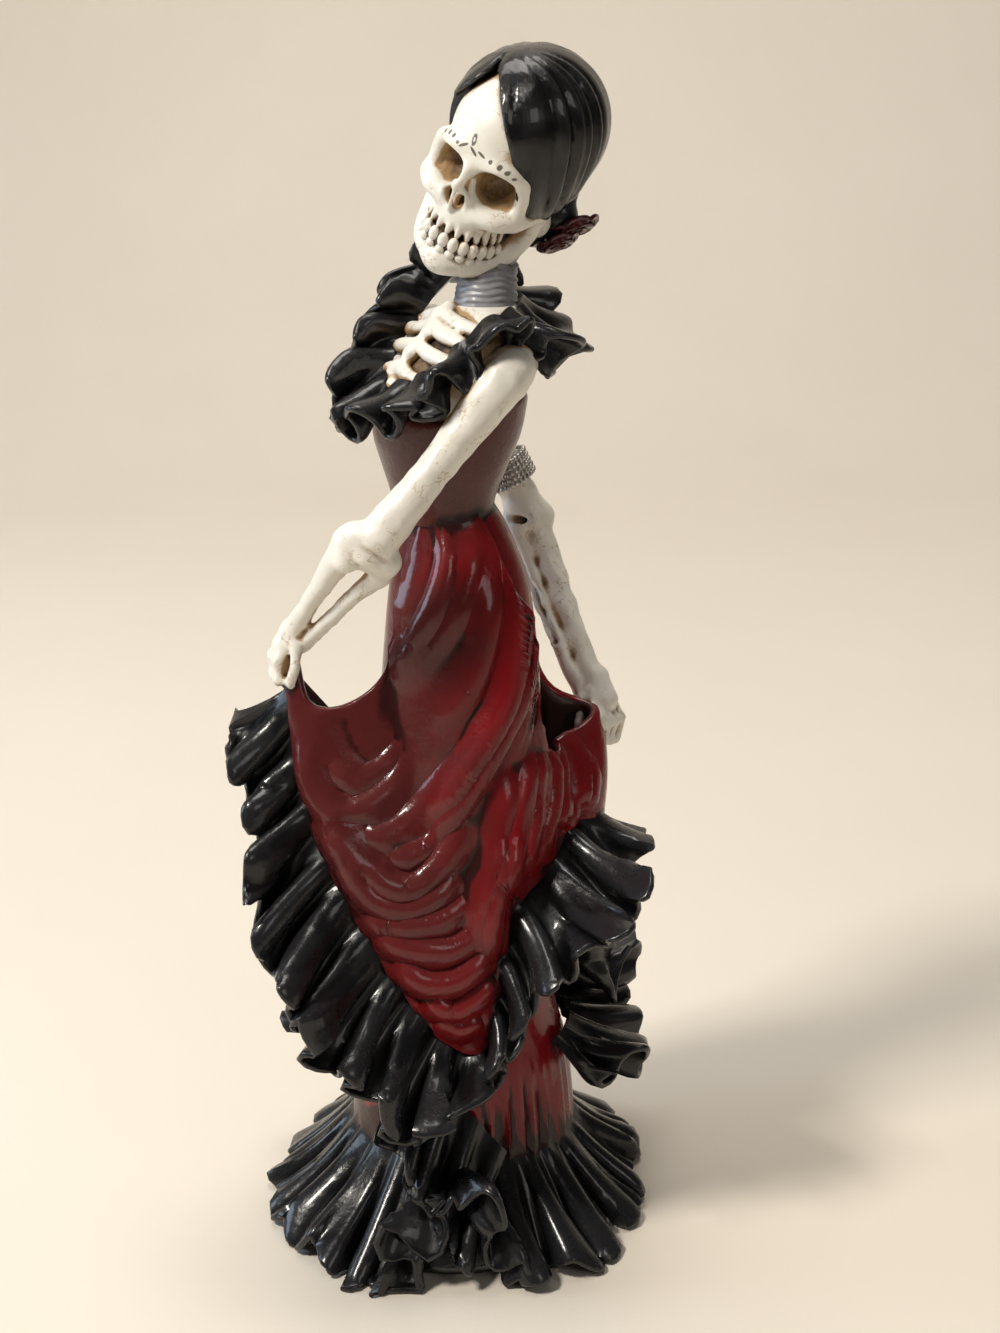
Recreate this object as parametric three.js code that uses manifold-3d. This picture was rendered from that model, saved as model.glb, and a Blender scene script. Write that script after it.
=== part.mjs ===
// A painted resin catrina: a skeleton lady dancing in a ruffled dress, about 300 mm tall.
// Millimetres, +Z up, the viewer in front at -Y, the origin on the floor under the middle of the base.
// The figure and its base are one casting. A band of silver beads goes round the arm behind her back.
import * as THREE from "three";
import { mergeVertices } from "three/addons/utils/BufferGeometryUtils.js";
import Module from "manifold-3d";

const wasm = await Module();
wasm.setup();

// Driving dimensions, in millimetres and degrees
const ARM_AT_BAND = 4.8; // radius of the arm under the band of beads
const BAND_GAP = 0.4; // clear space between the arm and the band
const BASE_RADIUS = 42;
const BASE_HEIGHT = 7;
const CLOTH = 2.8; // thickness of the cast cloth
const FRILL = 2.0; // thickness of a frill where it is sewn on
const FRILL_EDGE = 1.4; // thickness of a frill at its free edge
const STEPS_PER_WAVE = 4; // stations that draw one wave of a frill
const HEAD_TURN = -30; // about +Z, towards the viewer's left
const HEAD_NOD = 11; // looking down
const HEAD_LEAN = 29.5; // towards her left shoulder
const HEAD_AT = [13.4, 0, 273.8]; // between the ears
const HEAD_SCALE = 0.88; // the head's own sizes are those of a head 58 mm high
const TORSO_TURN = 65; // how far the chest turns to the viewer's left

const TURN = Math.PI * 2;
const rad = THREE.MathUtils.degToRad;
const vec = (x, y, z) => new THREE.Vector3(x, y, z);

// A smooth curve through rows of [key, value, value, ...]: returns key => [value, value, ...].
function curve(rows) {
  const slope = (i, k) => {
    const a = rows[Math.max(i - 1, 0)];
    const b = rows[Math.min(i + 1, rows.length - 1)];
    return (b[k] - a[k]) / (b[0] - a[0]);
  };
  return (key) => {
    const end = rows.length - 2;
    let i = 0;
    while (i < end && key > rows[i + 1][0]) i++;
    const [a, b] = [rows[i], rows[i + 1]];
    const h = b[0] - a[0];
    const t = THREE.MathUtils.clamp((key - a[0]) / h, 0, 1);
    const [t2, t3] = [t * t, t * t * t];
    return a.slice(1).map((_, n) => {
      const k = n + 1;
      return (
        a[k] * (2 * t3 - 3 * t2 + 1) +
        b[k] * (3 * t2 - 2 * t3) +
        slope(i, k) * h * (t3 - 2 * t2 + t) +
        slope(i + 1, k) * h * (t3 - t2)
      );
    });
  };
}

// A list of points as a curve with keys from 0 to 1.
const route = (points) => curve(points.map((p, i) => [i / (points.length - 1), ...p]));

// A closed geometry as a solid that can be joined and cut.
function solid(geometry) {
  const bare = geometry.clone();
  bare.deleteAttribute("normal");
  bare.deleteAttribute("uv");
  const merged = mergeVertices(bare, 1e-4);
  return new wasm.Manifold(
    new wasm.Mesh({
      numProp: 3,
      vertProperties: new Float32Array(merged.attributes.position.array),
      triVerts: new Uint32Array(merged.index.array),
    }),
  );
}

// Rings of points, one after another, skinned and closed by a cap at each end.
function loft(rings) {
  const n = rings[0].length;
  const points = rings.flat();
  const faces = [];
  for (let r = 0; r + 1 < rings.length; r++)
    for (let i = 0; i < n; i++) {
      const [a, b] = [r * n + i, r * n + ((i + 1) % n)];
      faces.push(a, b, b + n, a, b + n, a + n);
    }
  const cap = (start, flip) => {
    const middle = vec(0, 0, 0);
    for (let i = 0; i < n; i++) middle.add(points[start + i]);
    points.push(middle.divideScalar(n));
    const c = points.length - 1;
    for (let i = 0; i < n; i++) {
      const [a, b] = [start + i, start + ((i + 1) % n)];
      faces.push(...(flip ? [c, b, a] : [c, a, b]));
    }
  };
  cap(0, true);
  cap((rings.length - 1) * n, false);
  return facing(points, faces);
}

// Points and faces as a solid whose faces point out.
function facing(points, faces) {
  let volume = 0;
  for (let i = 0; i < faces.length; i += 3) {
    const [a, b, c] = [points[faces[i]], points[faces[i + 1]], points[faces[i + 2]]];
    volume += a.dot(b.clone().cross(c));
  }
  const geometry = new THREE.BufferGeometry().setFromPoints(points);
  geometry.setIndex(volume < 0 ? faces.slice().reverse() : faces);
  return solid(geometry);
}

// A grid of points [row][column] thickened to a closed sheet. loop joins the last row to the first.
// thick(row share, column share) gives the thickness; lean moves the sheet to one side of the points.
function sheet(grid, thick, { loop = false, lean = 0 } = {}) {
  const [rows, columns] = [grid.length, grid[0].length];
  const at = (r, c) => {
    const row = loop ? (r + rows) % rows : THREE.MathUtils.clamp(r, 0, rows - 1);
    return grid[row][THREE.MathUtils.clamp(c, 0, columns - 1)];
  };
  const sides = [[], []];
  for (let r = 0; r < rows; r++)
    for (let c = 0; c < columns; c++) {
      const down = at(r + 1, c).clone().sub(at(r - 1, c));
      const across = at(r, c + 1).clone().sub(at(r, c - 1));
      const normal = down.cross(across).normalize();
      const t = thick(r / (rows - 1), c / (columns - 1)) / 2;
      sides[0].push(at(r, c).clone().addScaledVector(normal, t * (1 + lean)));
      sides[1].push(at(r, c).clone().addScaledVector(normal, -t * (1 - lean)));
    }
  const faces = [];
  const n = rows * columns;
  const quad = (a, b, c, d) => faces.push(a, b, c, a, c, d);
  for (let r = 0; r < (loop ? rows : rows - 1); r++)
    for (let c = 0; c + 1 < columns; c++) {
      const [p, q] = [r * columns + c, ((r + 1) % rows) * columns + c];
      quad(p, p + 1, q + 1, q);
      quad(n + p, n + q, n + q + 1, n + p + 1);
    }
  for (let r = 0; r < (loop ? rows : rows - 1); r++) {
    const [p, q] = [r * columns, ((r + 1) % rows) * columns];
    const last = columns - 1;
    quad(p, q, n + q, n + p);
    quad(p + last, n + p + last, n + q + last, q + last);
  }
  if (!loop)
    for (let c = 0; c + 1 < columns; c++) {
      const end = (rows - 1) * columns + c;
      quad(c, n + c, n + c + 1, c + 1);
      quad(end, end + 1, n + end + 1, n + end);
    }
  return facing([...sides[0], ...sides[1]], faces);
}

// A round bar through stations of [x, y, z, radius], with domed ends.
function bone(stations, sides = 7) {
  const path = route(stations);
  const count = stations.length - 1;
  const rings = [];
  let side = null;
  for (let i = 0; i <= count; i++) {
    const t = i / count;
    const [x, y, z, r] = path(t);
    const [ax, ay, az] = path(Math.max(t - 0.01, 0));
    const [bx, by, bz] = path(Math.min(t + 0.01, 1));
    const along = vec(bx - ax, by - ay, bz - az).normalize();
    side = (side ?? (Math.abs(along.z) > 0.8 ? vec(1, 0, 0) : vec(0, 0, 1))).clone();
    side.addScaledVector(along, -side.dot(along)).normalize();
    const other = along.clone().cross(side);
    const ring = (radius, shift) =>
      Array.from({ length: sides }, (_, k) =>
        vec(x, y, z)
          .addScaledVector(along, shift)
          .addScaledVector(side, radius * Math.cos((k / sides) * TURN))
          .addScaledVector(other, radius * Math.sin((k / sides) * TURN)),
      );
    if (i === 0) rings.push(ring(r * 0.55, -r * 0.6));
    rings.push(ring(r, 0));
    if (i === count) rings.push(ring(r * 0.55, r * 0.6));
  }
  return loft(rings);
}

// An egg: a sphere stretched to three radii, then turned.
function egg(at, radii, turn = new THREE.Matrix4(), detail = 16) {
  const geometry = new THREE.SphereGeometry(1, detail, Math.round(detail * 0.65));
  geometry.scale(...radii);
  geometry.applyMatrix4(turn);
  geometry.translate(...at);
  return solid(geometry);
}

const join = (...solids) => wasm.Manifold.union(solids.flat());
const turned = (s, matrix) => s.transform(matrix.elements);

// A solid as a mesh that shows its facets.
function mesh(name, s, colour, roughness) {
  const { vertProperties, triVerts } = s.getMesh();
  const geometry = new THREE.BufferGeometry();
  geometry.setAttribute("position", new THREE.BufferAttribute(vertProperties, 3));
  geometry.setIndex(new THREE.BufferAttribute(triVerts, 1));
  const material = new THREE.MeshStandardMaterial({ color: colour, roughness, metalness: 0 });
  const made = new THREE.Mesh(geometry, material);
  made.name = name;
  return made;
}

// THE DRESS

// Height => middle x, middle y, half width, half depth of the skirt underneath.
const skirtCore = curve([
  [0, 0, 0, 34, 34],
  [12, 1, 0, 31, 31],
  [24, 2, 0, 30, 30],
  [44, 2, 0, 28, 28],
  [57, 2, 0, 24.6, 26],
  [72, 2, 0, 23.2, 25.6],
  [90, 2, 0, 22.6, 25],
  [109, 2, 0, 22, 23.6],
  [127, 2, 0, 21.2, 21],
  [145, 2, 0, 20.2, 18.6],
  [157, 2, 0, 19.2, 17.1],
  [172, 1.7, 0, 17.3, 15.6],
  [186, 0.4, 0, 13.3, 12.8],
  [193, -2, 0, 11.5, 11],
]);
const SKIRT_TOP = 193;

// Height => half width and half depth of the overskirt, then how far it is drawn out to each hand.
const overskirt = curve([
  [24, 31, 31, 0, 0],
  [44, 29, 29, 0, 0],
  [57, 26, 27.5, 2, 0],
  [72, 24.5, 27, 6, 3],
  [90, 24, 26.5, 11, 7],
  [109, 23.5, 25, 17, 11],
  [127, 22.5, 22.5, 20, 13],
  [145, 21.5, 20, 22, 9],
  [157, 20.5, 18.5, 22, 3],
  [172, 18.5, 17, 8, 0],
  [186, 14.5, 14, 0, 0],
  [193, 12.5, 12, 0, 0],
]);

// Height => the angle at which the overskirt is drawn out to a hand, and how wide the drawn part is.
const LEFT_PULL = curve([
  [57, 262, 36],
  [72, 247, 34],
  [85, 235, 32],
  [109, 218, 24],
  [130, 205, 17],
  [150, 196, 13],
  [165, 194, 10],
]);
const RIGHT_PULL = curve([
  [57, -4, 40],
  [90, 0, 34],
  [109, 4, 25],
  [127, 12, 14],
  [140, 15, 10],
]);

// The skirt's folds: each is a ridge or groove along a line of [angle, height], with its height and width.
const FOLDS = [
  { line: [[276, 184], [256, 164], [236, 150], [218, 142], [202, 143]], high: 1.8, wide: 3.2 },
  { line: [[296, 182], [290, 160], [270, 138], [250, 124], [228, 121], [209, 128]], high: 2.0, wide: 4.0 },
  { line: [[318, 176], [314, 150], [300, 128], [278, 110], [254, 104], [216, 122]], high: 2.4, wide: 4.2 },
  { line: [[330, 150], [322, 126], [306, 104], [284, 94], [262, 92], [226, 108]], high: 2.2, wide: 3.6 },
  { line: [[292, 98], [278, 84], [260, 80], [243, 88]], high: 2.2, wide: 3.0 },
  { line: [[288, 84], [274, 71], [260, 71], [250, 77]], high: 1.8, wide: 2.6 },
  { line: [[304, 116], [294, 98], [290, 82], [284, 66]], high: 2.4, wide: 2.6 },
  { line: [[336, 128], [328, 116], [316, 106]], high: 1.8, wide: 2.4 },
  { line: [[349, 130], [344, 118], [336, 108]], high: 1.8, wide: 2.4 },
  { line: [[150, 150], [130, 120], [110, 90], [100, 56]], high: 2.0, wide: 5.0 },
  { line: [[40, 140], [56, 112], [72, 86], [80, 56]], high: 2.0, wide: 5.0 },
  { line: [[80, 184], [72, 150], [64, 100], [62, 66]], high: 1.8, wide: 4.5 },
  { line: [[104, 184], [120, 150], [132, 110], [136, 70]], high: 1.8, wide: 4.5 },
];

const foldLines = FOLDS.map((fold) => {
  const path = route(fold.line);
  return { ...fold, points: Array.from({ length: 25 }, (_, i) => path(i / 24)) };
});

// How far the folds lift the cloth at an angle and height.
function foldLift(angle, z, radius) {
  let lift = 0;
  for (const { points, high, wide } of foldLines) {
    let nearest = Infinity;
    let fade = 0;
    points.forEach(([a, h], i) => {
      const apart = Math.hypot(rad(angle - a) * radius, z - h);
      if (apart < nearest) {
        nearest = apart;
        fade = Math.min(1, (4 * (i + 1)) / 26, (4 * (25 - i)) / 26);
      }
    });
    const ridge = Math.exp(-((nearest / wide) ** 2));
    const hollow = Math.exp(-(((nearest - 2 * wide) / wide) ** 2));
    lift += fade * high * (ridge - 0.35 * hollow);
  }
  return lift;
}

// The distance from the axis to the overskirt at an angle in degrees and a height.
function overskirtReach(angle, z) {
  const [wide, deep, left, right] = overskirt(z);
  const round = 1 / Math.hypot(Math.cos(rad(angle)) / wide, Math.sin(rad(angle)) / deep);
  const pull = ([middle, spread], amount) => {
    const off = ((((angle - middle) % 360) + 540) % 360) - 180;
    return amount * Math.exp(-((off / spread) ** 2));
  };
  return round + pull(LEFT_PULL(z), left) + pull(RIGHT_PULL(z), right);
}

function overskirtPoint(angle, z, out = 0) {
  const [x, y] = skirtCore(z);
  const reach = overskirtReach(angle, z);
  const r = reach + out + foldLift((angle + 360) % 360, z, reach);
  return vec(x + r * Math.cos(rad(angle)), y + r * Math.sin(rad(angle)), z);
}

// Angle => height of the overskirt's upper edge and of its hem. 0 is the viewer's right, 90 the back.
const edges = curve([
  [4, 131, 109],
  [13, 134, 96],
  [26, 140, 70],
  [40, 162, 58],
  [56, 188, 50],
  [90, 190, 46],
  [124, 188, 52],
  [140, 150, 62],
  [155, 128, 78],
  [170, 121, 96],
  [181, 124, 112],
  [187, 135, 126],
  [192, 150, 141],
  [197, 156, 149],
  [203, 144.5, 136],
  [209, 143, 124],
  [214, 149, 114],
  [220, 166, 105],
  [228, 182, 94],
  [240, 189, 80],
  [249, 190, 71],
  [262, 190, 61],
  [272, 190, 57],
  [282, 190, 58.5],
  [287, 190, 70],
  [291, 190, 83],
  [297, 190, 91.5],
  [309, 188, 97],
  [318, 166, 99],
  [328, 138, 103],
  [341, 127, 110],
  [352, 129, 110],
  [364, 131, 109],
]);

// A strip's free edge: the seam point moved out by the strip's width, with S-shaped waves on the way.
// at(share) gives { from, out, width } for a share of the seam.
function frillEdge({ at, waves, high, curl }, share) {
  const { from, out, width } = at(share);
  const ahead = at(share + 0.006).from.clone().sub(at(share - 0.006).from).normalize();
  const face = ahead.clone().cross(out).normalize();
  const phase = (share * waves + 0.125) * TURN;
  const edge = from
    .clone()
    .addScaledVector(out, width)
    .addScaledVector(face, high * Math.sin(phase))
    .addScaledVector(ahead, -curl * Math.sin(2 * phase));
  return edge.setZ(Math.max(edge.z, FRILL_EDGE));
}

// A frill of its own, sewn on along a path.
function frill(strip, { loop = false } = {}) {
  const count = strip.waves * STEPS_PER_WAVE;
  const grid = [];
  for (let i = 0; i < (loop ? count : count + 1); i++) {
    const share = i / count;
    const { from, out } = strip.at(share);
    grid.push([from.clone().addScaledVector(out, -1.2), frillEdge(strip, share)]);
  }
  return sheet(grid, (_, v) => FRILL + (FRILL_EDGE - FRILL) * v, { loop });
}

// Angle => width of the hem's frill, then the direction that it hangs in.
const hemFrill = curve([
  [4, 14, 0.8, -0.1, -0.6],
  [14, 12, 0.9, 0.1, -0.5],
  [24, 16, 1, 0.1, -0.5],
  [34, 25, 0.95, 0.12, -0.5],
  [48, 25, 0.7, 0.6, -0.5],
  [90, 22, 0, 1, -0.7],
  [135, 22, -0.7, 0.7, -0.6],
  [168, 20, -0.95, 0.4, -0.5],
  [188, 19, -0.8, 0.2, -0.6],
  [198, 22, -0.75, 0.1, -0.65],
  [205, 14, -0.8, 0, -0.65],
  [212, 16, -0.85, -0.2, -0.6],
  [220, 23, -0.8, -0.35, -0.55],
  [235, 28, -0.75, -0.5, -0.55],
  [249, 28, -0.62, -0.6, -0.62],
  [262, 23, -0.45, -0.65, -0.72],
  [268, 18, -0.3, -0.65, -0.8],
  [274, 13, 0, -0.65, -0.8],
  [284, 10, 0.4, -0.5, -0.7],
  [289, 13, 0.65, -0.5, -0.6],
  [295, 18, 0.75, -0.5, -0.6],
  [309, 23, 0.7, -0.62, -0.55],
  [327, 24, 0.72, -0.52, -0.52],
  [343, 20, 0.75, -0.3, -0.5],
  [352, 16, 0.8, 0, -0.65],
  [364, 14, 0.8, -0.1, -0.6],
]);

const hemAngle = (share) => 4 + (((share % 1) + 1) % 1) * 360;

const HEM_FRILL = {
  at: (share) => {
    const angle = hemAngle(share);
    const [width, x, y, z] = hemFrill(angle);
    return { from: overskirtPoint(angle, edges(angle)[1]), out: vec(x, y, z).normalize(), width };
  },
  waves: 17,
  high: 3.8,
  curl: 2.2,
};

// The overskirt with the frill at its hem.
const OVERSKIRT_ROWS = 4;
function overskirtSheet() {
  const grid = [];
  const steps = HEM_FRILL.waves * STEPS_PER_WAVE;
  for (let i = 0; i < steps; i++) {
    const angle = hemAngle(i / steps);
    const [top, hem] = edges(angle);
    const row = [frillEdge(HEM_FRILL, i / steps)];
    for (let k = 0; k <= OVERSKIRT_ROWS; k++)
      row.push(overskirtPoint(angle, hem + ((top - hem) * k) / OVERSKIRT_ROWS));
    grid.push(row);
  }
  return sheet(grid, (_, v) => (v === 0 ? FRILL_EDGE : CLOTH), { loop: true, lean: -1 });
}

function skirtBody() {
  const rings = [];
  const [rows, sides] = [9, 16];
  for (let i = 0; i <= rows; i++) {
    const z = 4 + ((SKIRT_TOP - 4) * i) / rows;
    const [x, y, wide, deep] = skirtCore(z);
    const ring = [];
    for (let k = 0; k < sides; k++) {
      const a = (k / sides) * TURN;
      ring.push(vec(x + wide * Math.cos(a), y + deep * Math.sin(a), z));
    }
    rings.push(ring);
  }
  return loft(rings);
}

// The second frill, behind and at the right under the first.
function backFrill() {
  return frill({
    at: (share) => {
      const angle = rad(-30 + 185 * share);
      const from = vec(2 + 29 * Math.cos(angle), 29 * Math.sin(angle), 51 - 7 * share);
      const out = vec(Math.cos(angle), Math.sin(angle), -0.6).normalize();
      return { from, out, width: 14 + 8 * THREE.MathUtils.clamp(share * 6, 0, 1) };
    },
    waves: 7,
    high: 3.4,
    curl: 2.0,
  });
}

// The floor frill: pleats that fan out from the skirt to the floor, lifted off the base at the front.
const floorEdge = curve([
  [-98, 16, 0.1],
  [-88, 16, 0.1],
  [-79, 22, -0.5],
  [-70, 31, -1.1],
  [-50, 29, -1.15],
  [90, 29, -1.15],
  [230, 29, -1.15],
  [246, 32, -1.1],
  [253, 30, -1],
  [258, 20, -0.3],
  [262, 16, 0.1],
]);

function floorFrill() {
  return frill({
    at: (share) => {
      const degrees = -98 + 360 * (((share % 1) + 1) % 1);
      const [width, down] = floorEdge(degrees);
      const angle = rad(degrees);
      const from = vec(1 + 27.5 * Math.cos(angle), 30 * Math.sin(angle), 24);
      const out = vec(0.94 * Math.cos(angle), 1.06 * Math.sin(angle), down).normalize();
      return { from, out, width };
    },
    waves: 14,
    high: 3.4,
    curl: 2.0,
  }, { loop: true });
}

// The frill that falls from the point of the overskirt down the front to the base.
function frontFrill() {
  const seam = route([[-10, -27, 53], [-2, -29, 44], [6, -30, 35], [13, -31, 27]]);
  return frill({
    at: (share) => ({
      from: vec(...seam(THREE.MathUtils.clamp(share, 0, 1))),
      out: vec(-0.4, -0.42, -0.8).normalize(),
      width: 22 + 8 * THREE.MathUtils.clamp(share, 0, 1),
    }),
    waves: 4,
    high: 3.4,
    curl: 2.0,
  });
}

function base() {
  const profile = [
    [0, 0], [BASE_RADIUS - 1, 0], [BASE_RADIUS, 1.2], [BASE_RADIUS - 2, BASE_HEIGHT], [0, BASE_HEIGHT + 1],
  ];
  const geometry = new THREE.LatheGeometry(profile.map(([r, z]) => new THREE.Vector2(r, z)), 28);
  geometry.rotateX(Math.PI / 2);
  geometry.scale(0.94, 1.04, 1);
  return solid(geometry);
}

// THE TORSO

// The chest's own directions: front, her left, and up
const FRONT = vec(-Math.sin(rad(TORSO_TURN)), -Math.cos(rad(TORSO_TURN)), 0);
const SIDE = vec(Math.cos(rad(TORSO_TURN)), -Math.sin(rad(TORSO_TURN)), 0);

// Rows of [height, middle x, middle y, half depth, half width] from the waist to the neck.
const BODICE = [
  [186, -2, 0, 11.8, 12.6],
  [193, -2, 0, 11.8, 13],
  [201, -1.6, 0, 14.4, 16],
  [209, -1, 0, 17.2, 18],
  [217, 0, 0, 17.6, 19.2],
  [220, 1, 0.2, 16.4, 19.6],
  [225, 2.4, 0.5, 14.8, 21],
  [230, 4, 0.6, 12.6, 22.5],
  [236, 6.6, 0.4, 9.6, 17],
  [240, 8, 0, 8, 10],
];

function torso() {
  const sides = 16;
  const rings = BODICE.map(([z, x, y, deep, wide]) => {
    const ring = [];
    for (let k = 0; k < sides; k++) {
      const a = (k / sides) * TURN;
      const point = vec(x, y, z).addScaledVector(FRONT, deep * Math.cos(a));
      ring.push(point.addScaledVector(SIDE, -wide * Math.sin(a)));
    }
    return ring;
  });
  return loft(rings);
}

// A point on the chest: height, and an angle from its front towards her left.
const chestAt = curve(BODICE);
function chestPoint(z, angle, out = 0) {
  const [x, y, deep, wide] = chestAt(z);
  return vec(x, y, z)
    .addScaledVector(FRONT, (deep + out) * Math.cos(rad(angle)))
    .addScaledVector(SIDE, (wide + out) * Math.sin(rad(angle)));
}

function ribcage() {
  const stations = (points, r) => points.map((p) => [p.x, p.y, p.z, r]);
  const breastbone = [222, 228, 234, 239].map((z) => chestPoint(z, 0, 0.4));
  const solids = [bone(stations(breastbone, 2.4), 5)];
  for (const side of [-1, 1]) {
    for (let i = 0; i < 4; i++) {
      const z = 235 - i * 4;
      const points = [4, 38].map((a, k) => chestPoint(z - k * 2.4, side * a, 0.9));
      solids.push(bone(stations(points, 1.4), 4));
    }
    const collar = [8, 62].map((a) => chestPoint(238 - a * 0.06, side * a, 1.2));
    solids.push(bone(stations(collar, 1.8), 4));
  }
  return solids;
}

function neck() {
  const sides = 10;
  const stack = [
    [234, 7.5, 7.4], [238.5, 8.5, 7.6], [241, 8.9, 6.6], [243.5, 9.1, 7.4], [246, 9.2, 6.5],
    [249, 9.6, 7.1], [258, 12, 6],
  ];
  const rings = stack.map(([z, x, r]) =>
    Array.from({ length: sides }, (_, i) => {
      const a = (i / sides) * TURN;
      return vec(x + r * Math.cos(a), r * Math.sin(a), z);
    }),
  );
  return loft(rings);
}

// The neckline: share of the way round from the front => point, direction of the frill and its width.
const neckline = curve([
  [0.0, -15.5, -9, 221, -0.72, -0.42, -0.6, 15],
  [0.09, -9, -17, 223, -0.4, -0.7, -0.6, 12],
  [0.18, -1, -21.5, 227.5, 0, -0.8, -0.6, 10],
  [0.27, 6, -21, 235, 0.15, -0.75, -0.35, 8],
  [0.36, 13, -15, 238.5, 0.6, -0.6, -0.4, 10],
  [0.45, 17, -4, 238.5, 0.75, -0.15, -1, 15],
  [0.54, 17, 6, 240, 0.8, 0.4, -0.9, 12],
  [0.63, 10, 15, 243.5, 0.3, 0.9, -0.3, 11],
  [0.72, 1, 19, 245.5, -0.4, 0.5, 0.6, 9],
  [0.8, -6, 16.5, 240, -0.8, -0.1, 0.45, 10],
  [0.88, -12, 10, 232, -0.88, -0.3, 0.12, 11.5],
  [0.95, -15, 1, 226, -0.86, -0.35, -0.22, 13],
  [1.0, -15.5, -9, 221, -0.72, -0.42, -0.6, 15],
]);

function collarFrill() {
  return frill({
    at: (share) => {
      const [x, y, z, outX, outY, outZ, width] = neckline(((share % 1) + 1) % 1);
      return { from: vec(x, y, z), out: vec(outX, outY, outZ).normalize(), width };
    },
    waves: 11,
    high: 3.0,
    curl: 2.0,
  }, { loop: true });
}

// THE ARMS

const WRIST_LEFT = [-38.8, -14, 161.5];
const WRIST_RIGHT = [37.4, 16, 138.5];

function leftArm() {
  return [
    bone([
      [15.5, -19, 228, 5.2], [12.5, -24.5, 225, 5.9], [-2, -30, 207, 4.3],
      [-12, -33, 195, 4.9], [-18, -34, 188, 6.3],
    ], 8),
    bone([[-15, -33.5, 184, 4.2], [-22, -34, 190, 4.4]]),
    bone([[-22.5, -33, 188.5, 4.6], [-27, -29, 181, 3.7], [-33, -21, 171, 2.9], WRIST_LEFT.concat(2.9)]),
    bone([[-15.5, -32, 181.5, 3.4], [-22, -29, 177, 2.6], [-31, -20, 167, 2.5], [-37.5, -13.5, 159, 2.8]]),
  ];
}

function rightArm() {
  return [
    bone([
      [-7, 17, 232, 5], [-4, 26, 229, 6.2], [6, 30, 209, 4.6],
      [14.5, 32, 192, 4.7], [20, 33, 180, 6.4],
    ], 8),
    bone([[20.5, 32, 178, 5], [26, 29, 166, 4.2], [32, 22, 151, 3.5], WRIST_RIGHT.concat(3.4)]),
    bone([[17.5, 31, 177, 4.6], [21.5, 28, 166, 3.2], [28, 21, 150, 2.7], [34, 15.5, 138, 2.8]]),
  ];
}

// A hand closed on the cloth: knuckles beyond the wrist, then fingers that curl down.
function hand(wrist, forward, across, down) {
  const [ahead, aside, below] = [forward, across, down].map((direction) => direction.clone().normalize());
  const point = (f, a, d) =>
    vec(...wrist).addScaledVector(ahead, f).addScaledVector(aside, a).addScaledVector(below, d);
  const solids = [bone([[...point(-1, 0, -1).toArray(), 3.2], [...point(3.5, 0, 2).toArray(), 4]])];
  for (let i = 0; i < 4; i++) {
    const a = (i - 1.5) * 2.3;
    const chain = [[1, a * 0.7, 0, 1.7], [6.5, a, 2.5, 1.6], [7, a, 8, 1.5], [2.5, a * 0.9, 12.5, 1.2]];
    solids.push(bone(chain.map(([f, s, d, r]) => [...point(f, s, d).toArray(), r]), 4));
  }
  const thumb = [[0, 3, 2, 1.6], [1.5, 4.6, 6, 1.5], [3.5, 3.6, 10, 1.3]];
  solids.push(bone(thumb.map(([f, s, d, r]) => [...point(f, s, d).toArray(), r]), 4));
  return solids;
}

// THE HEAD

const headTurn = new THREE.Matrix4()
  .makeTranslation(...HEAD_AT)
  .scale(vec(HEAD_SCALE, HEAD_SCALE, HEAD_SCALE))
  .multiply(new THREE.Matrix4().makeRotationZ(rad(HEAD_TURN)))
  .multiply(new THREE.Matrix4().makeRotationX(rad(HEAD_NOD)))
  .multiply(new THREE.Matrix4().makeRotationY(rad(HEAD_LEAN)));

// In the head's own frame she faces -Y with +Z up, and the point between the ears is the origin.
function skull() {
  // Rows of [height, middle y, half width, half depth] from the chin up
  const face = curve([
    [-27.2, -12.5, 5, 4.5],
    [-25.4, -12.4, 7.6, 7],
    [-21, -9.8, 10, 10],
    [-14, -7.4, 11.4, 12.2],
    [-8, -5, 13.6, 14.4],
    [-2, -3.5, 15.5, 15.5],
    [5, -2, 15.5, 17],
    [10, -1, 15, 17],
  ]);
  const rings = [];
  for (let i = 0; i <= 6; i++) {
    const z = -27.2 + (37.2 * i) / 6;
    const [y, wide, deep] = face(z);
    rings.push(
      Array.from({ length: 12 }, (_, k) => {
        const a = (k / 12) * TURN;
        return vec(wide * Math.cos(a), y + deep * Math.sin(a), z);
      }),
    );
  }
  const solids = [egg([0, 3, 7], [17, 22.5, 19], undefined, 12), loft(rings)];
  for (const side of [-1, 1]) {
    solids.push(bone([[side * 7.5, -16.5, -8.8, 2.8], [side * 13.3, -12, -8.3, 2.8], [side * 16, -1, -8.6, 2]], 5));
    solids.push(bone([[side * 14, -1, -8, 2.7], [side * 12, -3, -17, 2.8], [side * 9, -9, -22.2, 2.8]], 5));
  }
  const cuts = [];
  for (const side of [-1, 1]) {
    cuts.push(egg([side * 7, -20, -1.2], [5.6, 9, 5.1], undefined, 7));
    const slant = new THREE.Matrix4().makeRotationY(rad(side * 14));
    cuts.push(egg([side * 1.7 - 0.9, -21.5, -7.4], [1.5, 6.5, 3.1], slant, 5));
    cuts.push(egg([side * 14.6, -9, -13.6], [4, 6.5, 4], undefined, 6));
  }
  return join(join(solids).subtract(join(cuts)), toothRow(-19.2, 2.1), toothRow(-22.4, 1.8));
}

// A row of teeth: a bar round the mouth that swells at each tooth.
function toothRow(z, size) {
  const stations = [];
  for (let i = 0; i <= 12; i++) {
    const a = rad(-90 + (i - 6) * 12);
    stations.push([11.2 * Math.cos(a), -8.4 + 11.8 * Math.sin(a), z, i % 2 ? size : size * 0.72]);
  }
  return bone(stations, 4);
}

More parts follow.
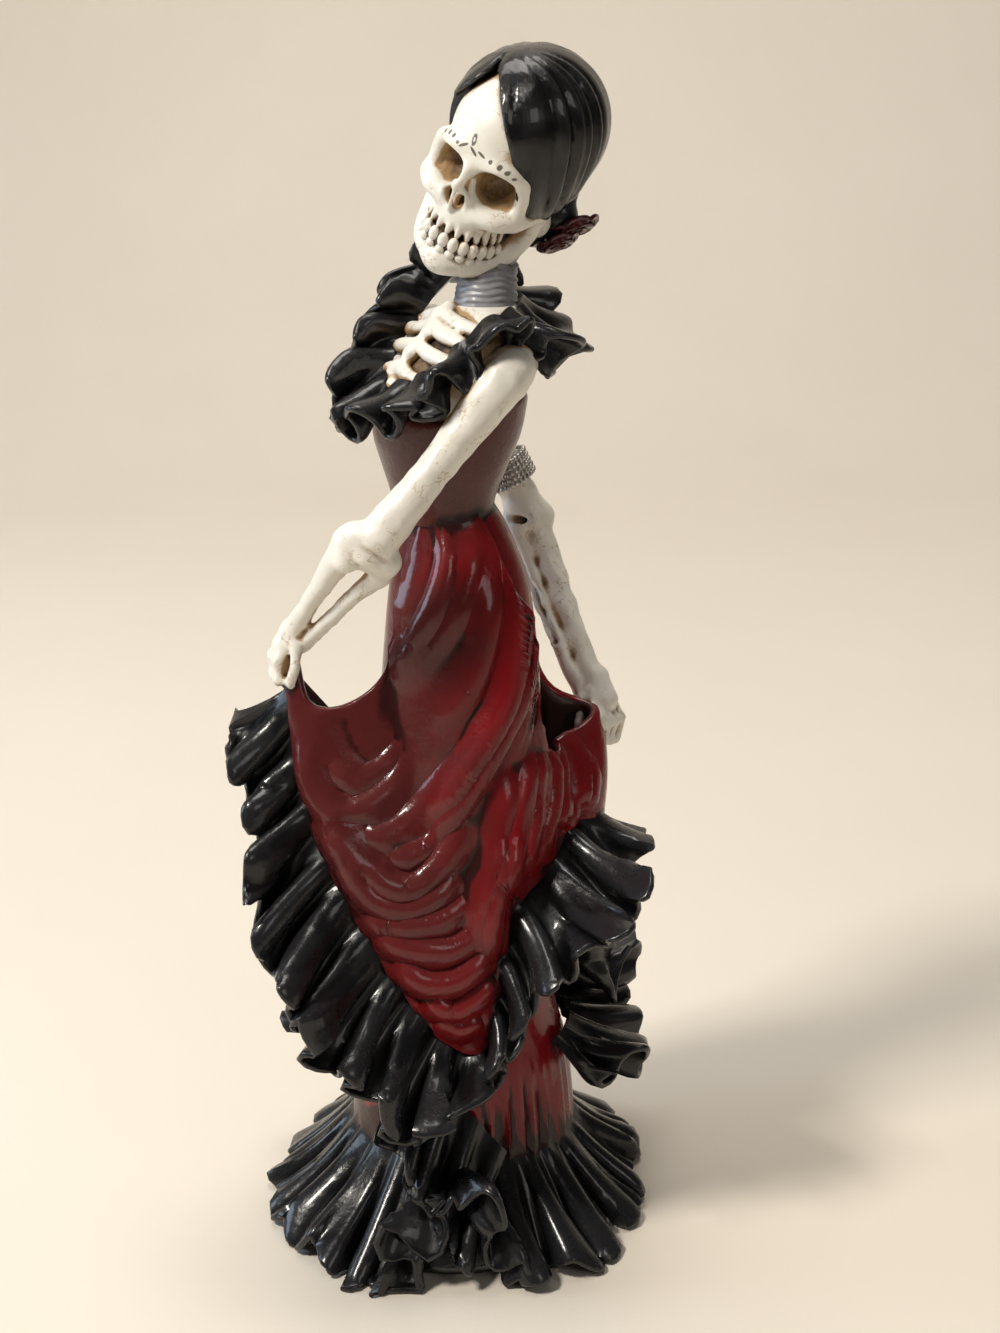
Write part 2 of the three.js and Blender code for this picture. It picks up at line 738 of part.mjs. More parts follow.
// The hairline on each side: height => distance from the middle of the forehead.
const HAIRLINE = {
  left: [[23.6, -9], [22.7, -5.3], [20.5, -2.4], [13, 5.1], [4.7, 10.2], [-9, 13.2], [-30, 18]],
  right: [[23.6, 9.8], [19.7, 11.1], [15.5, 13.6], [9.1, 18.2], [3, 19], [-30, 19]],
};

// The hair: locks drawn from the parting round the head to the nape.
function hair() {
  const from = vec(0.5, -9, 26);
  const to = vec(0, 21, -9);
  const middle = vec(0.2, 6, 8.4);
  const radii = vec(20, 25, 20.6);
  const along = to.clone().sub(from).normalize();
  const side = vec(1, 0, 0);
  const other = along.clone().cross(side).normalize();
  const rings = [];
  const count = 24;
  for (let i = 1; i < 7; i++) {
    const polar = (i / 7) * Math.PI;
    const ring = [];
    for (let k = 0; k < count; k++) {
      const a = (k / count) * TURN + 0.25 * polar;
      const direction = along
        .clone()
        .multiplyScalar(-Math.cos(polar))
        .addScaledVector(side, Math.sin(polar) * Math.cos(a))
        .addScaledVector(other, Math.sin(polar) * Math.sin(a));
      const ridge = 1 + 0.035 * (k % 3 === 0 ? -1 : 0.6) * Math.sin(polar);
      ring.push(direction.multiply(radii).multiplyScalar(ridge).add(middle));
    }
    rings.push(ring);
  }
  const outline = (rows, sign) => rows.map(([z, x]) => [sign * x, z]);
  const front = [...outline(HAIRLINE.left, 1), ...outline(HAIRLINE.right, -1).reverse()];
  const opening = loft([-45, -3].map((y) => front.map(([x, z]) => vec(x, y, z))));
  return loft(rings).subtract(opening);
}

// Two roses on a knot of hair at the nape.
function roses() {
  const solids = [egg([8.5, 15, -6.5], [9, 7, 7], undefined, 8)];
  for (const [x, y, z, r] of [[13.5, 17, -11, 6.5], [5, 20.5, -10.5, 6]]) {
    solids.push(egg([x, y, z], [r * 0.6, r * 0.6, r * 0.6], undefined, 6));
    for (let i = 0; i < 4; i++) {
      const a = (i / 4) * TURN;
      const at = [x + r * 0.55 * Math.cos(a), y + 0.3 * r * Math.sin(a), z + r * 0.55 * Math.sin(a)];
      solids.push(egg(at, [r * 0.5, r * 0.4, r * 0.5], undefined, 5));
    }
  }
  return solids;
}

const head = () => turned(join(skull(), hair(), roses()), headTurn);

// THE BAND OF BEADS

function beadBand() {
  const middle = vec(13.6, 31.8, 193.6);
  const along = vec(8.5, 1.8, -17).normalize();
  const side = vec(0, 1, 0).addScaledVector(along, -along.y).normalize();
  const other = along.clone().cross(side);
  const rings = [];
  const inner = ARM_AT_BAND + BAND_GAP + 0.4;
  const [rows, around] = [3, 14];
  for (let r = 0; r <= rows * 2; r++) {
    const out = r % 2 ? 1.9 : 1.2;
    rings.push({ shift: (r / (rows * 2) - 0.5) * rows * 2.5, radius: inner + out });
  }
  rings.push({ shift: rows * 1.25, radius: inner });
  rings.push({ shift: -rows * 1.25, radius: inner });
  const points = rings.flatMap(({ shift, radius }) =>
    Array.from({ length: around }, (_, i) => {
      const a = (i / around) * TURN;
      return middle
        .clone()
        .addScaledVector(along, shift)
        .addScaledVector(side, radius * Math.cos(a))
        .addScaledVector(other, radius * Math.sin(a));
    }),
  );
  const faces = [];
  const count = rings.length;
  for (let r = 0; r < count; r++)
    for (let i = 0; i < around; i++) {
      const [a, b] = [r * around + i, r * around + ((i + 1) % around)];
      const next = ((r + 1) % count) * around;
      const [c, d] = [next + i, next + ((i + 1) % around)];
      faces.push(a, b, d, a, d, c);
    }
  return facing(points, faces);
}

function body() {
  const dress = join(base(), skirtBody(), overskirtSheet(), backFrill(), floorFrill(), frontFrill());
  const trunk = join(torso(), ribcage(), neck(), collarFrill());
  const hands = [
    hand(WRIST_LEFT, vec(-0.75, 0.2, -0.6), vec(0.3, -0.95, 0), vec(0.1, 0, -1)),
    hand(WRIST_RIGHT, vec(0.35, -0.4, -0.85), vec(-0.6, -0.8, 0.1), vec(-0.3, 0, -1)),
  ];
  return join(dress, trunk, leftArm(), rightArm(), hands.flat(), head());
}

// The outer shell of a solid, with any closed hollow inside it filled.
const filled = (s) => join(s.decompose().filter((part) => part.volume() > 0));

const figure = new THREE.Group();
const band = beadBand();
figure.add(mesh("figure", filled(body()), 0x6a1414, 0.3));
figure.add(mesh("bead_band", band, 0xa8a8a4, 0.35));

export default figure;
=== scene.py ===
"""A painted resin skeleton lady in a ruffled dress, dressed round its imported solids.

Forms are worked out in millimetres, in the frame of the solids: +X to the viewer's right, +Y away
from the viewer and +Z up, with the origin on the floor under the middle of the base.
"""

import logging
import math
from dataclasses import dataclass
from enum import Enum
from typing import Callable, Iterable, Optional, Union

import bmesh
import bpy
import numpy as np
from mathutils import Matrix, Vector
from mathutils.bvhtree import BVHTree


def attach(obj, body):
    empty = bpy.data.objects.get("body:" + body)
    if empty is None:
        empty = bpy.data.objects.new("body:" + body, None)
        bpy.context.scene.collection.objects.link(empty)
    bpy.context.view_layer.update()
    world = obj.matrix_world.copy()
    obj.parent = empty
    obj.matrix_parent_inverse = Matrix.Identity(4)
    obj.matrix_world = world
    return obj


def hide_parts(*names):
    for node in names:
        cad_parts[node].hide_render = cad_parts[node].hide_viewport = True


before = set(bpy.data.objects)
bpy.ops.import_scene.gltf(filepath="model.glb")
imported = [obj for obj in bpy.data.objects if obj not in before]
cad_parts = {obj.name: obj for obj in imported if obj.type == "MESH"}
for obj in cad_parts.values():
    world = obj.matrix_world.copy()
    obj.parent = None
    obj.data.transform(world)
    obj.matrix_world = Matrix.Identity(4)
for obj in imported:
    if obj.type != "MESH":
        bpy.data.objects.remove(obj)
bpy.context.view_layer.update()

MM = 0.001
TURN = 2 * math.pi
Array = np.ndarray
Rows = list[list[float]]
Spot = tuple[float, float, float]
Seam = tuple[Array, Array, Array]
Colour = tuple[float, float, float]
Mesh, Object, Material = bpy.types.Mesh, bpy.types.Object, bpy.types.Material
Socket = bpy.types.NodeSocket
# Beyond this reach from the middle a frill's edge gives way, by no more than FRILL_GIVE past it
FRILL_MIDDLE = (-1.7, 0.0)
FRILL_REACH = 46.5
FRILL_GIVE = 7.0
log = logging.getLogger("figurine")


class Paint(Enum):
    """The finishes of the casting, in the order of its material slots."""

    CLOTH = 0
    FRILL = 1
    BODICE = 2
    BONE = 3
    HAIR = 4
    ROSE = 5
    BASE = 6
    LINING = 7
    TOOTH = 8
    DARK = 9
    # The neck's grey-blue paint is painted shade and painted reflection.
    NECK = 10


# Curves and small sums


def unit(vectors: Array) -> Array:
    """Vectors scaled to length one along their last axis."""
    return vectors / np.maximum(np.linalg.norm(vectors, axis=-1, keepdims=True), 1e-9)


def new_object(name: str, data: bpy.types.ID) -> Object:
    """An object of the data, put in the scene.

    Args:
        name: The object's name.
        data: Its mesh, light or camera.

    Returns:
        The object.
    """
    made = bpy.data.objects.new(name, data)
    bpy.context.scene.collection.objects.link(made)
    return made


def applied(obj: Object) -> Mesh:
    """The object's plain mesh after its modifiers."""
    graph = bpy.context.evaluated_depsgraph_get()
    return bpy.data.meshes.new_from_object(obj.evaluated_get(graph))


def read(items: bpy.types.bpy_prop_collection, name: str, columns: int = 3, kind: type = float) -> Array:
    """A value of each point, edge or face of a mesh.

    Args:
        items: The points, edges or faces.
        name: The value's name.
        columns: How many numbers it has.
        kind: What kind of number.

    Returns:
        A row for each.
    """
    values = np.zeros(len(items) * columns, kind)
    items.foreach_get(name, values)
    return values.reshape(-1, columns)


def bell(offset: Array, width: float) -> Array:
    """A smooth bump that is 1 at no offset and fades over the width."""
    return np.exp(-((offset / width) ** 2))


def smooth_min(a: Array, b: Array, blend: float) -> Array:
    """The lower of two distances, with a fillet of about the blend's size where they cross.

    Args:
        a: One form's distances.
        b: The other's.
        blend: The fillet's size.

    Returns:
        The joined distances.
    """
    if blend <= 0:
        return np.minimum(a, b)
    share = np.clip(0.5 + 0.5 * (b - a) / blend, 0, 1)
    return b + (a - b) * share - blend * share * (1 - share)


class Curve:
    """A smooth curve through rows of [key, value, value, ...]."""

    def __init__(self, rows: Rows) -> None:
        """Keeps the rows and works out the slope at each.

        Args:
            rows: Rows of a key and its values, with rising keys.
        """
        table = np.array(rows, float)
        self.keys, self.values = table[:, 0], table[:, 1:]
        last = len(rows) - 1
        low, high = np.maximum(np.arange(last + 1) - 1, 0), np.minimum(np.arange(last + 1) + 1, last)
        self.slopes = (self.values[high] - self.values[low]) / (self.keys[high] - self.keys[low])[:, None]

    def __call__(self, keys: Union[float, Array]) -> Array:
        """The values at one key or many, along a new last axis.

        Args:
            keys: A key or an array of them.

        Returns:
            The values.
        """
        keys = np.asarray(keys, float)
        i = np.clip(np.searchsorted(self.keys, keys, side="left") - 1, 0, len(self.keys) - 2)
        span = (self.keys[i + 1] - self.keys[i])[..., None]
        t = np.clip((keys - self.keys[i])[..., None] / span, 0, 1)
        a, b = self.values[i], self.values[i + 1]
        rise = self.slopes[i] * span * (t**3 - 2 * t**2 + t) + self.slopes[i + 1] * span * (t**3 - t**2)
        return a * (2 * t**3 - 3 * t**2 + 1) + b * (3 * t**2 - 2 * t**3) + rise


def route(points: Rows) -> Curve:
    """A curve through points, with keys from 0 to 1."""
    return Curve([[i / (len(points) - 1), *p] for i, p in enumerate(points)])


# Closed surfaces


@dataclass
class Shape:
    """A closed surface in millimetres.

    Attributes:
        points: One row for each point.
        faces: Four point numbers a row; a triangle repeats its last one.
        paint: The finish of the faces.
        grain: A vector a point that the strands of hair follow.
    """

    points: Array
    faces: Array
    paint: Paint
    grain: Optional[Array] = None

    def __post_init__(self) -> None:
        """Turns the faces so that they point out."""
        a, b, c, d = (self.points[self.faces[:, k]] for k in range(4))
        volume = np.einsum("ij,ij->i", a, np.cross(b, c)).sum()
        volume += np.einsum("ij,ij->i", a, np.cross(c, d)).sum()
        if volume < 0:
            triangle = self.faces[:, 2] == self.faces[:, 3]
            turned = self.faces[:, ::-1].copy()
            turned[triangle] = self.faces[triangle][:, [2, 1, 0, 0]]
            self.faces = turned

    def moved(self, matrix: Matrix) -> "Shape":
        """The shape after a 4 by 4 matrix."""
        m = np.array(matrix)
        return Shape(self.points @ m[:3, :3].T + m[:3, 3], self.faces, self.paint, self.grain)

    def mesh(self, name: str) -> Mesh:
        """The shape as a mesh in metres, with its paint as material index.

        Args:
            name: The mesh's name.

        Returns:
            The mesh.
        """
        made = bpy.data.meshes.new(name)
        faces = [f[:3] if f[2] == f[3] else f for f in self.faces.tolist()]
        made.from_pydata(self.points * MM, [], faces)
        made.polygons.foreach_set("material_index", np.full(len(faces), self.paint.value))
        grain = np.zeros((len(self.points), 3)) if self.grain is None else self.grain
        layer = made.attributes.new("grain", "FLOAT_VECTOR", "POINT")
        layer.data.foreach_set("vector", grain.astype(np.float32).ravel())
        return made


def tube(rings: Array, paint: Paint) -> Shape:
    """Rings of points skinned one after another, with a fan over each end.

    Args:
        rings: An array of rings by points by three.
        paint: The finish.

    Returns:
        The closed shape.
    """
    count, n = rings.shape[:2]
    start = (np.arange(count - 1) * n)[:, None]
    i, j = np.arange(n)[None, :], (np.arange(n)[None, :] + 1) % n
    walls = np.stack([start + i, start + j, start + j + n, start + i + n], -1).reshape(-1, 4)
    ends = [rings[0].mean(0), rings[-1].mean(0)]
    low, high = count * n, count * n + 1
    i, j = i[0], j[0]
    floor = np.stack([np.full(n, low), j, i, i], -1)
    last = (count - 1) * n
    roof = np.stack([np.full(n, high), last + i, last + j, last + j], -1)
    return Shape(np.vstack([rings.reshape(-1, 3), ends]), np.vstack([walls, floor, roof]), paint)


def sheet(grid: Array, thick: Array, paint: Paint, loop: bool, lean: float = 0.0, rim: int = 3) -> Shape:
    """A grid of points thickened to cloth whose last column is a free, rounded edge.

    Args:
        grid: Rows along the seam by columns out to the free edge by three.
        thick: The thickness at each column, or at each point, in millimetres.
        paint: The finish.
        loop: Whether the last row joins the first.
        lean: 0 puts the grid in the middle of the cloth, 1 or -1 on one of its faces.
        rim: How many points round off the free edge.

    Returns:
        The closed shape.
    """
    if loop:
        down = np.roll(grid, -1, 0) - np.roll(grid, 1, 0)
    else:
        down = np.gradient(grid, axis=0)
    normal = unit(np.cross(down, np.gradient(grid, axis=1)))
    half = (np.broadcast_to(thick, grid.shape[:2]) / 2)[..., None]
    front = grid + normal * half * (1 + lean)
    back = grid - normal * half * (1 - lean)
    out = unit(grid[:, -1] - grid[:, -2])
    middle, reach = (front[:, -1] + back[:, -1]) / 2, half[:, -1]
    bend = [math.pi * (k + 1) / (rim + 1) for k in range(rim)]
    turned = [middle + reach * (normal[:, -1] * math.cos(a) + out * math.sin(a)) for a in bend]
    profile = np.concatenate([front, np.stack(turned, 1), back[:, ::-1]], 1)
    rows, n = profile.shape[:2]
    row = np.arange(rows if loop else rows - 1)[:, None]
    i = np.arange(n)[None, :]
    j, below = (i + 1) % n, (row + 1) % rows
    faces = np.stack([row * n + i, below * n + i, below * n + j, row * n + j], -1).reshape(-1, 4)
    if not loop:
        k = np.arange(n // 2)
        facing = n - 1 - k
        first = np.stack([k, k + 1, facing - 1, facing], -1)
        first[-1] = [k[-1], k[-1] + 1, facing[-1], facing[-1]] if n % 2 else first[-1]
        faces = np.vstack([faces, first, (first + (rows - 1) * n)[:, ::-1]])
    return Shape(profile.reshape(-1, 3), mend(faces), paint)


def mend(faces: Array) -> Array:
    """Faces with a repeated point moved to the end, so that each triangle is written one way.

    Args:
        faces: Four point numbers a row.

    Returns:
        The same faces, mended.
    """
    for k in range(3):
        same = (faces[:, k] == faces[:, k + 1]) & (faces[:, 2] != faces[:, 3])
        faces[same] = np.roll(faces[same], 2 - k, axis=1)
    first = (faces[:, 0] == faces[:, 3]) & (faces[:, 2] != faces[:, 3])
    faces[first] = np.roll(faces[first], -1, axis=1)
    return faces


# Forms that melt into one another


@dataclass(frozen=True)
class Egg:
    """A ball with three radii.

    Attributes:
        at: Its middle.
        radii: Its radii along its own axes.
        turn: Its turns about X, Y and Z, in degrees.
    """

    at: Spot
    radii: Spot
    turn: Spot = (0, 0, 0)

    def box(self) -> tuple[Array, Array]:
        """The lowest and highest corner that the form can reach."""
        reach = max(self.radii) if any(self.turn) else np.array(self.radii)
        return np.array(self.at) - reach, np.array(self.at) + reach

    def distance(self, points: Array) -> Array:
        """The distance of points from the surface, below zero inside.

        Args:
            points: Places in millimetres.

        Returns:
            A distance for each.
        """
        local = points - np.array(self.at)
        if any(self.turn):
            x, y, z = (math.radians(a) for a in self.turn)
            spin = Matrix.Rotation(z, 3, "Z") @ Matrix.Rotation(y, 3, "Y") @ Matrix.Rotation(x, 3, "X")
            local = local @ np.array(spin)
        radii = np.array(self.radii)
        near = np.linalg.norm(local / radii, axis=-1)
        return near * (near - 1) / np.maximum(np.linalg.norm(local / radii**2, axis=-1), 1e-6)


@dataclass(frozen=True)
class Limb:
    """A round bar through stations.

    Attributes:
        stations: Rows of x, y, z and radius.
        steps: Steps from one station to the next.
    """

    stations: Rows
    steps: int = 1

    def path(self) -> Array:
        """The stations with the steps between them.

        Returns:
            Rows of x, y, z and radius.
        """
        if self.steps == 1:
            return np.array(self.stations, float)
        return route(self.stations)(np.linspace(0, 1, (len(self.stations) - 1) * self.steps + 1))

    def box(self) -> tuple[Array, Array]:
        """The lowest and highest corner that the form can reach."""
        path = self.path()
        return (path[:, :3] - path[:, 3:]).min(0), (path[:, :3] + path[:, 3:]).max(0)

    def distance(self, points: Array) -> Array:
        """The distance of points from the surface, below zero inside.

        Args:
            points: Places in millimetres.

        Returns:
            A distance for each.
        """
        path = self.path()
        nearest = np.full(points.shape[:-1], 1e3)
        for a, b in zip(path[:-1], path[1:]):
            along = b[:3] - a[:3]
            share = np.clip((points - a[:3]) @ along / max(along @ along, 1e-9), 0, 1)
            off = np.linalg.norm(points - a[:3] - share[..., None] * along, axis=-1)
            nearest = np.minimum(nearest, off - a[3] - (b[3] - a[3]) * share)
        return nearest


Form = Union[Egg, Limb]


class Clay:
    """Signed distances on a grid of small cells, built up and cut away form by form."""

    def __init__(self, low: tuple[float, ...], high: tuple[float, ...], cell: float) -> None:
        """Makes an empty block.

        Args:
            low: Its lowest corner, in millimetres.
            high: Its highest corner.
            cell: The size of a cell.
        """
        self.low, self.cell = np.array(low, float), cell
        self.count = np.ceil((np.array(high, float) - self.low) / cell).astype(int) + 1
        self.values = np.full(self.count, 50.0)

    def points(self, low: Optional[Array] = None, high: Optional[Array] = None) -> tuple[tuple, Array]:
        """The part of the grid between two corners, and the places of its points.

        Args:
            low: The lowest corner, if not the block's.
            high: The highest one.

        Returns:
            The part's slices and its points.
        """
        a = np.zeros(3, int) if low is None else np.floor((low - self.low) / self.cell).astype(int)
        b = self.count if high is None else np.ceil((high - self.low) / self.cell).astype(int) + 1
        a, b = np.clip(a, 0, self.count - 1), np.clip(b, 1, self.count)
        axes = [self.low[k] + self.cell * np.arange(a[k], b[k]) for k in range(3)]
        window = tuple(slice(a[k], b[k]) for k in range(3))
        return window, np.stack(np.meshgrid(*axes, indexing="ij"), -1)

    def add(self, form: Form, blend: float = 0.0) -> "Clay":
        """Joins a form on, with a fillet of the blend's size."""
        return self.melt(form, blend, 1)

    def cut(self, form: Form, blend: float = 0.0) -> "Clay":
        """Cuts a form away, with an edge rounded by the blend."""
        return self.melt(form, blend, -1)

    def melt(self, form: Form, blend: float, sign: int) -> "Clay":
        """Joins a form on or cuts it away.

        Args:
            form: The form.
            blend: Size of the fillet or of the rounded edge.
            sign: 1 to join it on, -1 to cut it away.

        Returns:
            The block.
        """
        low, high = form.box()
        window, points = self.points(low - blend - 2, high + blend + 2)
        values = sign * self.values[window]
        self.values[window] = sign * smooth_min(values, form.distance(points), blend)
        return self

    def settle(self) -> Array:
        """Fills in cell faces whose corners are inside and outside by turns, and says what is inside.

        Returns:
            Which points of the grid are inside.
        """
        while True:
            inside = self.values < 0
            found = False
            for axis in range(3):
                block, values = np.moveaxis(inside, axis, 0), np.moveaxis(self.values, axis, 0)
                a, b, c, d = block[:, :-1, :-1], block[:, 1:, :-1], block[:, :-1, 1:], block[:, 1:, 1:]
                for mixed, one, two in ((a & d & ~b & ~c, (1, 0), (0, 1)), (b & c & ~a & ~d, (0, 0), (1, 1))):
                    i, j, k = np.nonzero(mixed)
                    found = found or len(i) > 0
                    for dj, dk in (one, two):
                        values[i, j + dj, k + dk] = -1e-3
            if not found:
                return inside

    def surface(self, paint: Paint) -> Shape:
        """The zero surface, with one point in each cell that it passes through.

        Args:
            paint: The finish.

        Returns:
            The closed shape.
        """
        inside = self.settle()
        size = self.count - 1
        corner = [(x, y, z) for x in (0, 1) for y in (0, 1) for z in (0, 1)]

        def view(block: Array, c: tuple[int, int, int]) -> Array:
            """The block's values at one corner of each cell."""
            return block[c[0] : c[0] + size[0], c[1] : c[1] + size[1], c[2] : c[2] + size[2]]

        total = sum(view(inside, c).astype(np.int8) for c in corner)
        active = (total > 0) & (total < 8)
        cells = np.argwhere(active)
        number = np.full(size, -1)
        number[active] = np.arange(len(cells))
        place, crossings = np.zeros((len(cells), 3)), np.zeros(len(cells))
        for axis in range(3):
            for c in corner:
                if c[axis]:
                    continue
                end = tuple(c[k] + (k == axis) for k in range(3))
                a, b = view(self.values, c)[active], view(self.values, end)[active]
                crossed = (a < 0) != (b < 0)
                share = np.where(crossed, a / np.where(crossed, a - b, 1), 0)
                spot = np.tile(np.array(c, float), (len(cells), 1))
                spot[:, axis] += share
                place += spot * crossed[:, None]
                crossings += crossed
        points = self.low + self.cell * (cells + place / crossings[:, None])
        quads = []
        for axis in range(3):
            u, v = (axis + 1) % 3, (axis + 2) % 3
            ahead = [slice(None)] * 3
            ahead[axis] = slice(1, None)
            back = [slice(None)] * 3
            back[axis] = slice(None, -1)
            changed = inside[tuple(back)] != inside[tuple(ahead)]
            edge = np.argwhere(changed)
            edge = edge[(edge[:, u] > 0) & (edge[:, v] > 0) & (edge[:, u] < size[u]) & (edge[:, v] < size[v])]
            around = []
            for du, dv in ((-1, -1), (0, -1), (0, 0), (-1, 0)):
                cell = edge.copy()
                cell[:, u] += du
                cell[:, v] += dv
                around.append(number[tuple(cell.T)])
            quad = np.stack(around, -1)
            outward = inside[tuple(edge.T)]
            quad[~outward] = quad[~outward][:, ::-1]
            quads.append(quad)
        return Shape(points, np.vstack(quads), paint)


# The dress


@dataclass
class Frill:
    """A strip of cloth gathered on a seam, with S-shaped folds at its free edge.

    Attributes:
        seam: Share of the seam to its point, the direction of the cloth and its width.
        waves: How many folds it has.
        high: How far a fold stands to each side at the free edge.
        curl: How far a fold leans over along the seam.
        loop: Whether the seam closes on itself.
        steps: Stations drawn in a fold.
        columns: Stations drawn across the cloth.
        sewn: Thickness at the seam.
        edge: Thickness at the free edge.
        vary: How unlike one another the folds are, as a share of their size.
        droop: How far the cloth sags, as a share of its width.
        flare: How far its free edge turns back out.
        seed: What the differences start from.
    """

    seam: Callable[[Array], Seam]
    waves: int
    high: float
    curl: float
    loop: bool
    steps: int = 22
    columns: int = 12
    sewn: float = 2.0
    edge: float = 1.8
    vary: float = 0.25
    droop: float = 0.15
    flare: float = 0.2
    seed: int = 1

    def even(self, count: int) -> Array:
        """Shares of the seam that lie evenly along the middle of the cloth.

        Args:
            count: How many steps to make.

        Returns:
            The shares.
        """
        share = np.linspace(0, 1, 1441)
        start, out, width = self.seam(share)
        steps = np.linalg.norm(np.diff(start + 0.6 * out * width[:, None], axis=0), axis=1)
        length = np.concatenate([[0], np.cumsum(steps)])
        wanted = np.arange(count if self.loop else count + 1) / count
        return np.interp(wanted * length[-1], length, share)

    def uneven(self, rng: np.random.Generator, along: Array) -> Array:
        """A smooth wander between -1 and 1 along the seam, that meets itself where the seam closes.

        Args:
            rng: What it is drawn from.
            along: Shares of the seam.

        Returns:
            A number for each share.
        """
        knots = self.waves * 2
        values = rng.uniform(-1, 1, knots + 1)
        values[-1] = values[0]
        return Curve([[k / knots, value] for k, value in enumerate(values)])(along)[:, 0]

    def shape(self) -> Shape:
        """The frill as a closed shape.

        Returns:
            The closed shape.
        """
        count = self.waves * self.steps
        share = self.even(count)
        along = np.arange(len(share)) / count
        start, out, width = self.seam(share)
        rng = np.random.default_rng(self.seed)
        size, lean, spread, drop, flip = (self.vary * self.uneven(rng, along)[:, None] for _ in range(5))
        v = np.linspace(0, 1, self.columns)[None, :] ** 0.85
        phase = (along[:, None] * self.waves + 0.125) * TURN + 2.4 * spread + 2.2 * lean * v**2
        small = along[:, None] * (2 * self.waves + 3) * TURN + 6 * size
        reach = -1.2 + (width[:, None] * (1 + 0.3 * drop) + 1.2) * v
        flat = start[:, None] + out[:, None] * reach[..., None]
        flat[..., 2] -= self.droop * width[:, None] * v**2
        flare = self.flare * width[:, None] * v**3 * (1 + 2 * flip)
        if self.loop:
            step = (np.roll(flat, -1, 0) - np.roll(flat, 1, 0)) / 2
        else:
            step = np.gradient(flat, axis=0)
        ahead = unit(step)
        phase = phase + 2.8 * ahead[..., 2] * v**1.6
        length = np.linalg.norm(step, axis=-1) * self.steps
        away = unit(np.gradient(flat, axis=1))
        face = unit(np.cross(ahead, away))
        high = length * (0.07 + (self.high * (1 + size) - 0.07) * v**1.9) * (1 - 0.25 * v**8)
        wave = high * np.sin(phase) + 0.09 * length * v**2 * np.sin(small)
        grid = flat + face * (wave + 4 * flip * v**2 - flare)[..., None]
        grid = grid - ahead * (length * self.curl * (1 + lean) * v**1.5 * np.sin(2 * phase))[..., None]
        grid = grid - away * (0.16 * high * v**2 * np.cos(2 * phase + 3 * spread))[..., None]
        for k, middle in enumerate(FRILL_MIDDLE):
            offset = grid[..., k] - middle
            over = np.maximum(np.abs(offset) - FRILL_REACH, 0)
            grid[..., k] -= np.sign(offset) * (over - FRILL_GIVE * np.tanh(over / FRILL_GIVE))
        grid[..., 2] = np.maximum(grid[..., 2], self.edge / 2 + 0.05)
        thick = self.sewn + (self.edge - self.sewn) * v[0]
        return sheet(grid, thick, Paint.FRILL, self.loop, rim=5)


@dataclass(frozen=True)
class Fold:
    """A fold in the cloth.

    Attributes:
        line: Points of (angle in degrees, height in millimetres) along its crest.
        high: How far the crest stands out.
        wide: Half its width.
        pocket: Depth of the hollow beside it, on the side to the left of the line.
        steep: How much steeper it is on that side.
    """

    line: Rows
    high: float
    wide: float
    pocket: float = 0.0
    steep: float = 1.6

    def lift(self, angle: Array, height: Array, reach: Array) -> Array:
        """How far the fold moves the cloth at angles, heights and distances from the axis.

        Args:
            angle: Angles, in degrees.
            height: Heights.
            reach: Distances from the axis.

        Returns:
            How far out each place moves.
        """
        path = route(self.line)(np.linspace(0, 1, 7 * len(self.line)))
        margin = 5 * self.wide
        near = (height > path[:, 1].min() - margin) & (height < path[:, 1].max() + margin)
        span = np.degrees(margin / 18)
        near &= (angle > path[:, 0].min() - span) & (angle < path[:, 0].max() + span)
        moved = np.zeros(angle.shape)
        if near.any():
            moved[near] = self.profile(path, angle[near], height[near], reach[near])
        return moved

    def profile(self, path: Array, angle: Array, height: Array, reach: Array) -> Array:
        """The fold's shape across its path, faded at both ends.

        Args:
            path: Angles and heights along the crest.
            angle: Angles, in degrees.
            height: Heights.
            reach: Distances from the axis.

        Returns:
            How far out each place moves.
        """
        best = np.full(angle.shape, 1e6)
        side, progress = np.zeros(angle.shape), np.zeros(angle.shape)
        last = len(path) - 1
        scale = np.radians(1.0) * reach
        for k in range(last):
            a, b = path[k], path[k + 1]
            px, pz = (angle - a[0]) * scale, height - a[1]
            ax, az = (b[0] - a[0]) * scale, b[1] - a[1]
            share = np.clip((px * ax + pz * az) / np.maximum(ax * ax + az * az, 1e-9), 0, 1)
            off = np.hypot(px - ax * share, pz - az * share)
            nearer = off < best
            best = np.where(nearer, off, best)
            side = np.where(nearer, np.sign(ax * pz - az * px), side)
            progress = np.where(nearer, (k + share) / last, progress)
        fade = np.clip(np.minimum(progress, 1 - progress) * 5, 0, 1)
        fade = fade * fade * (3 - 2 * fade)
        across = best * side
        widths = np.where(across > 0, self.wide / self.steep, self.wide * 1.35)
        crest = self.high * bell(across, widths)
        hollow = 0.25 * self.high * bell(across + 2.6 * self.wide, 1.2 * self.wide)
        pocket = self.pocket * bell(across - 1.25 * self.wide, 0.7 * self.wide)
        return fade * (crest - hollow - pocket)


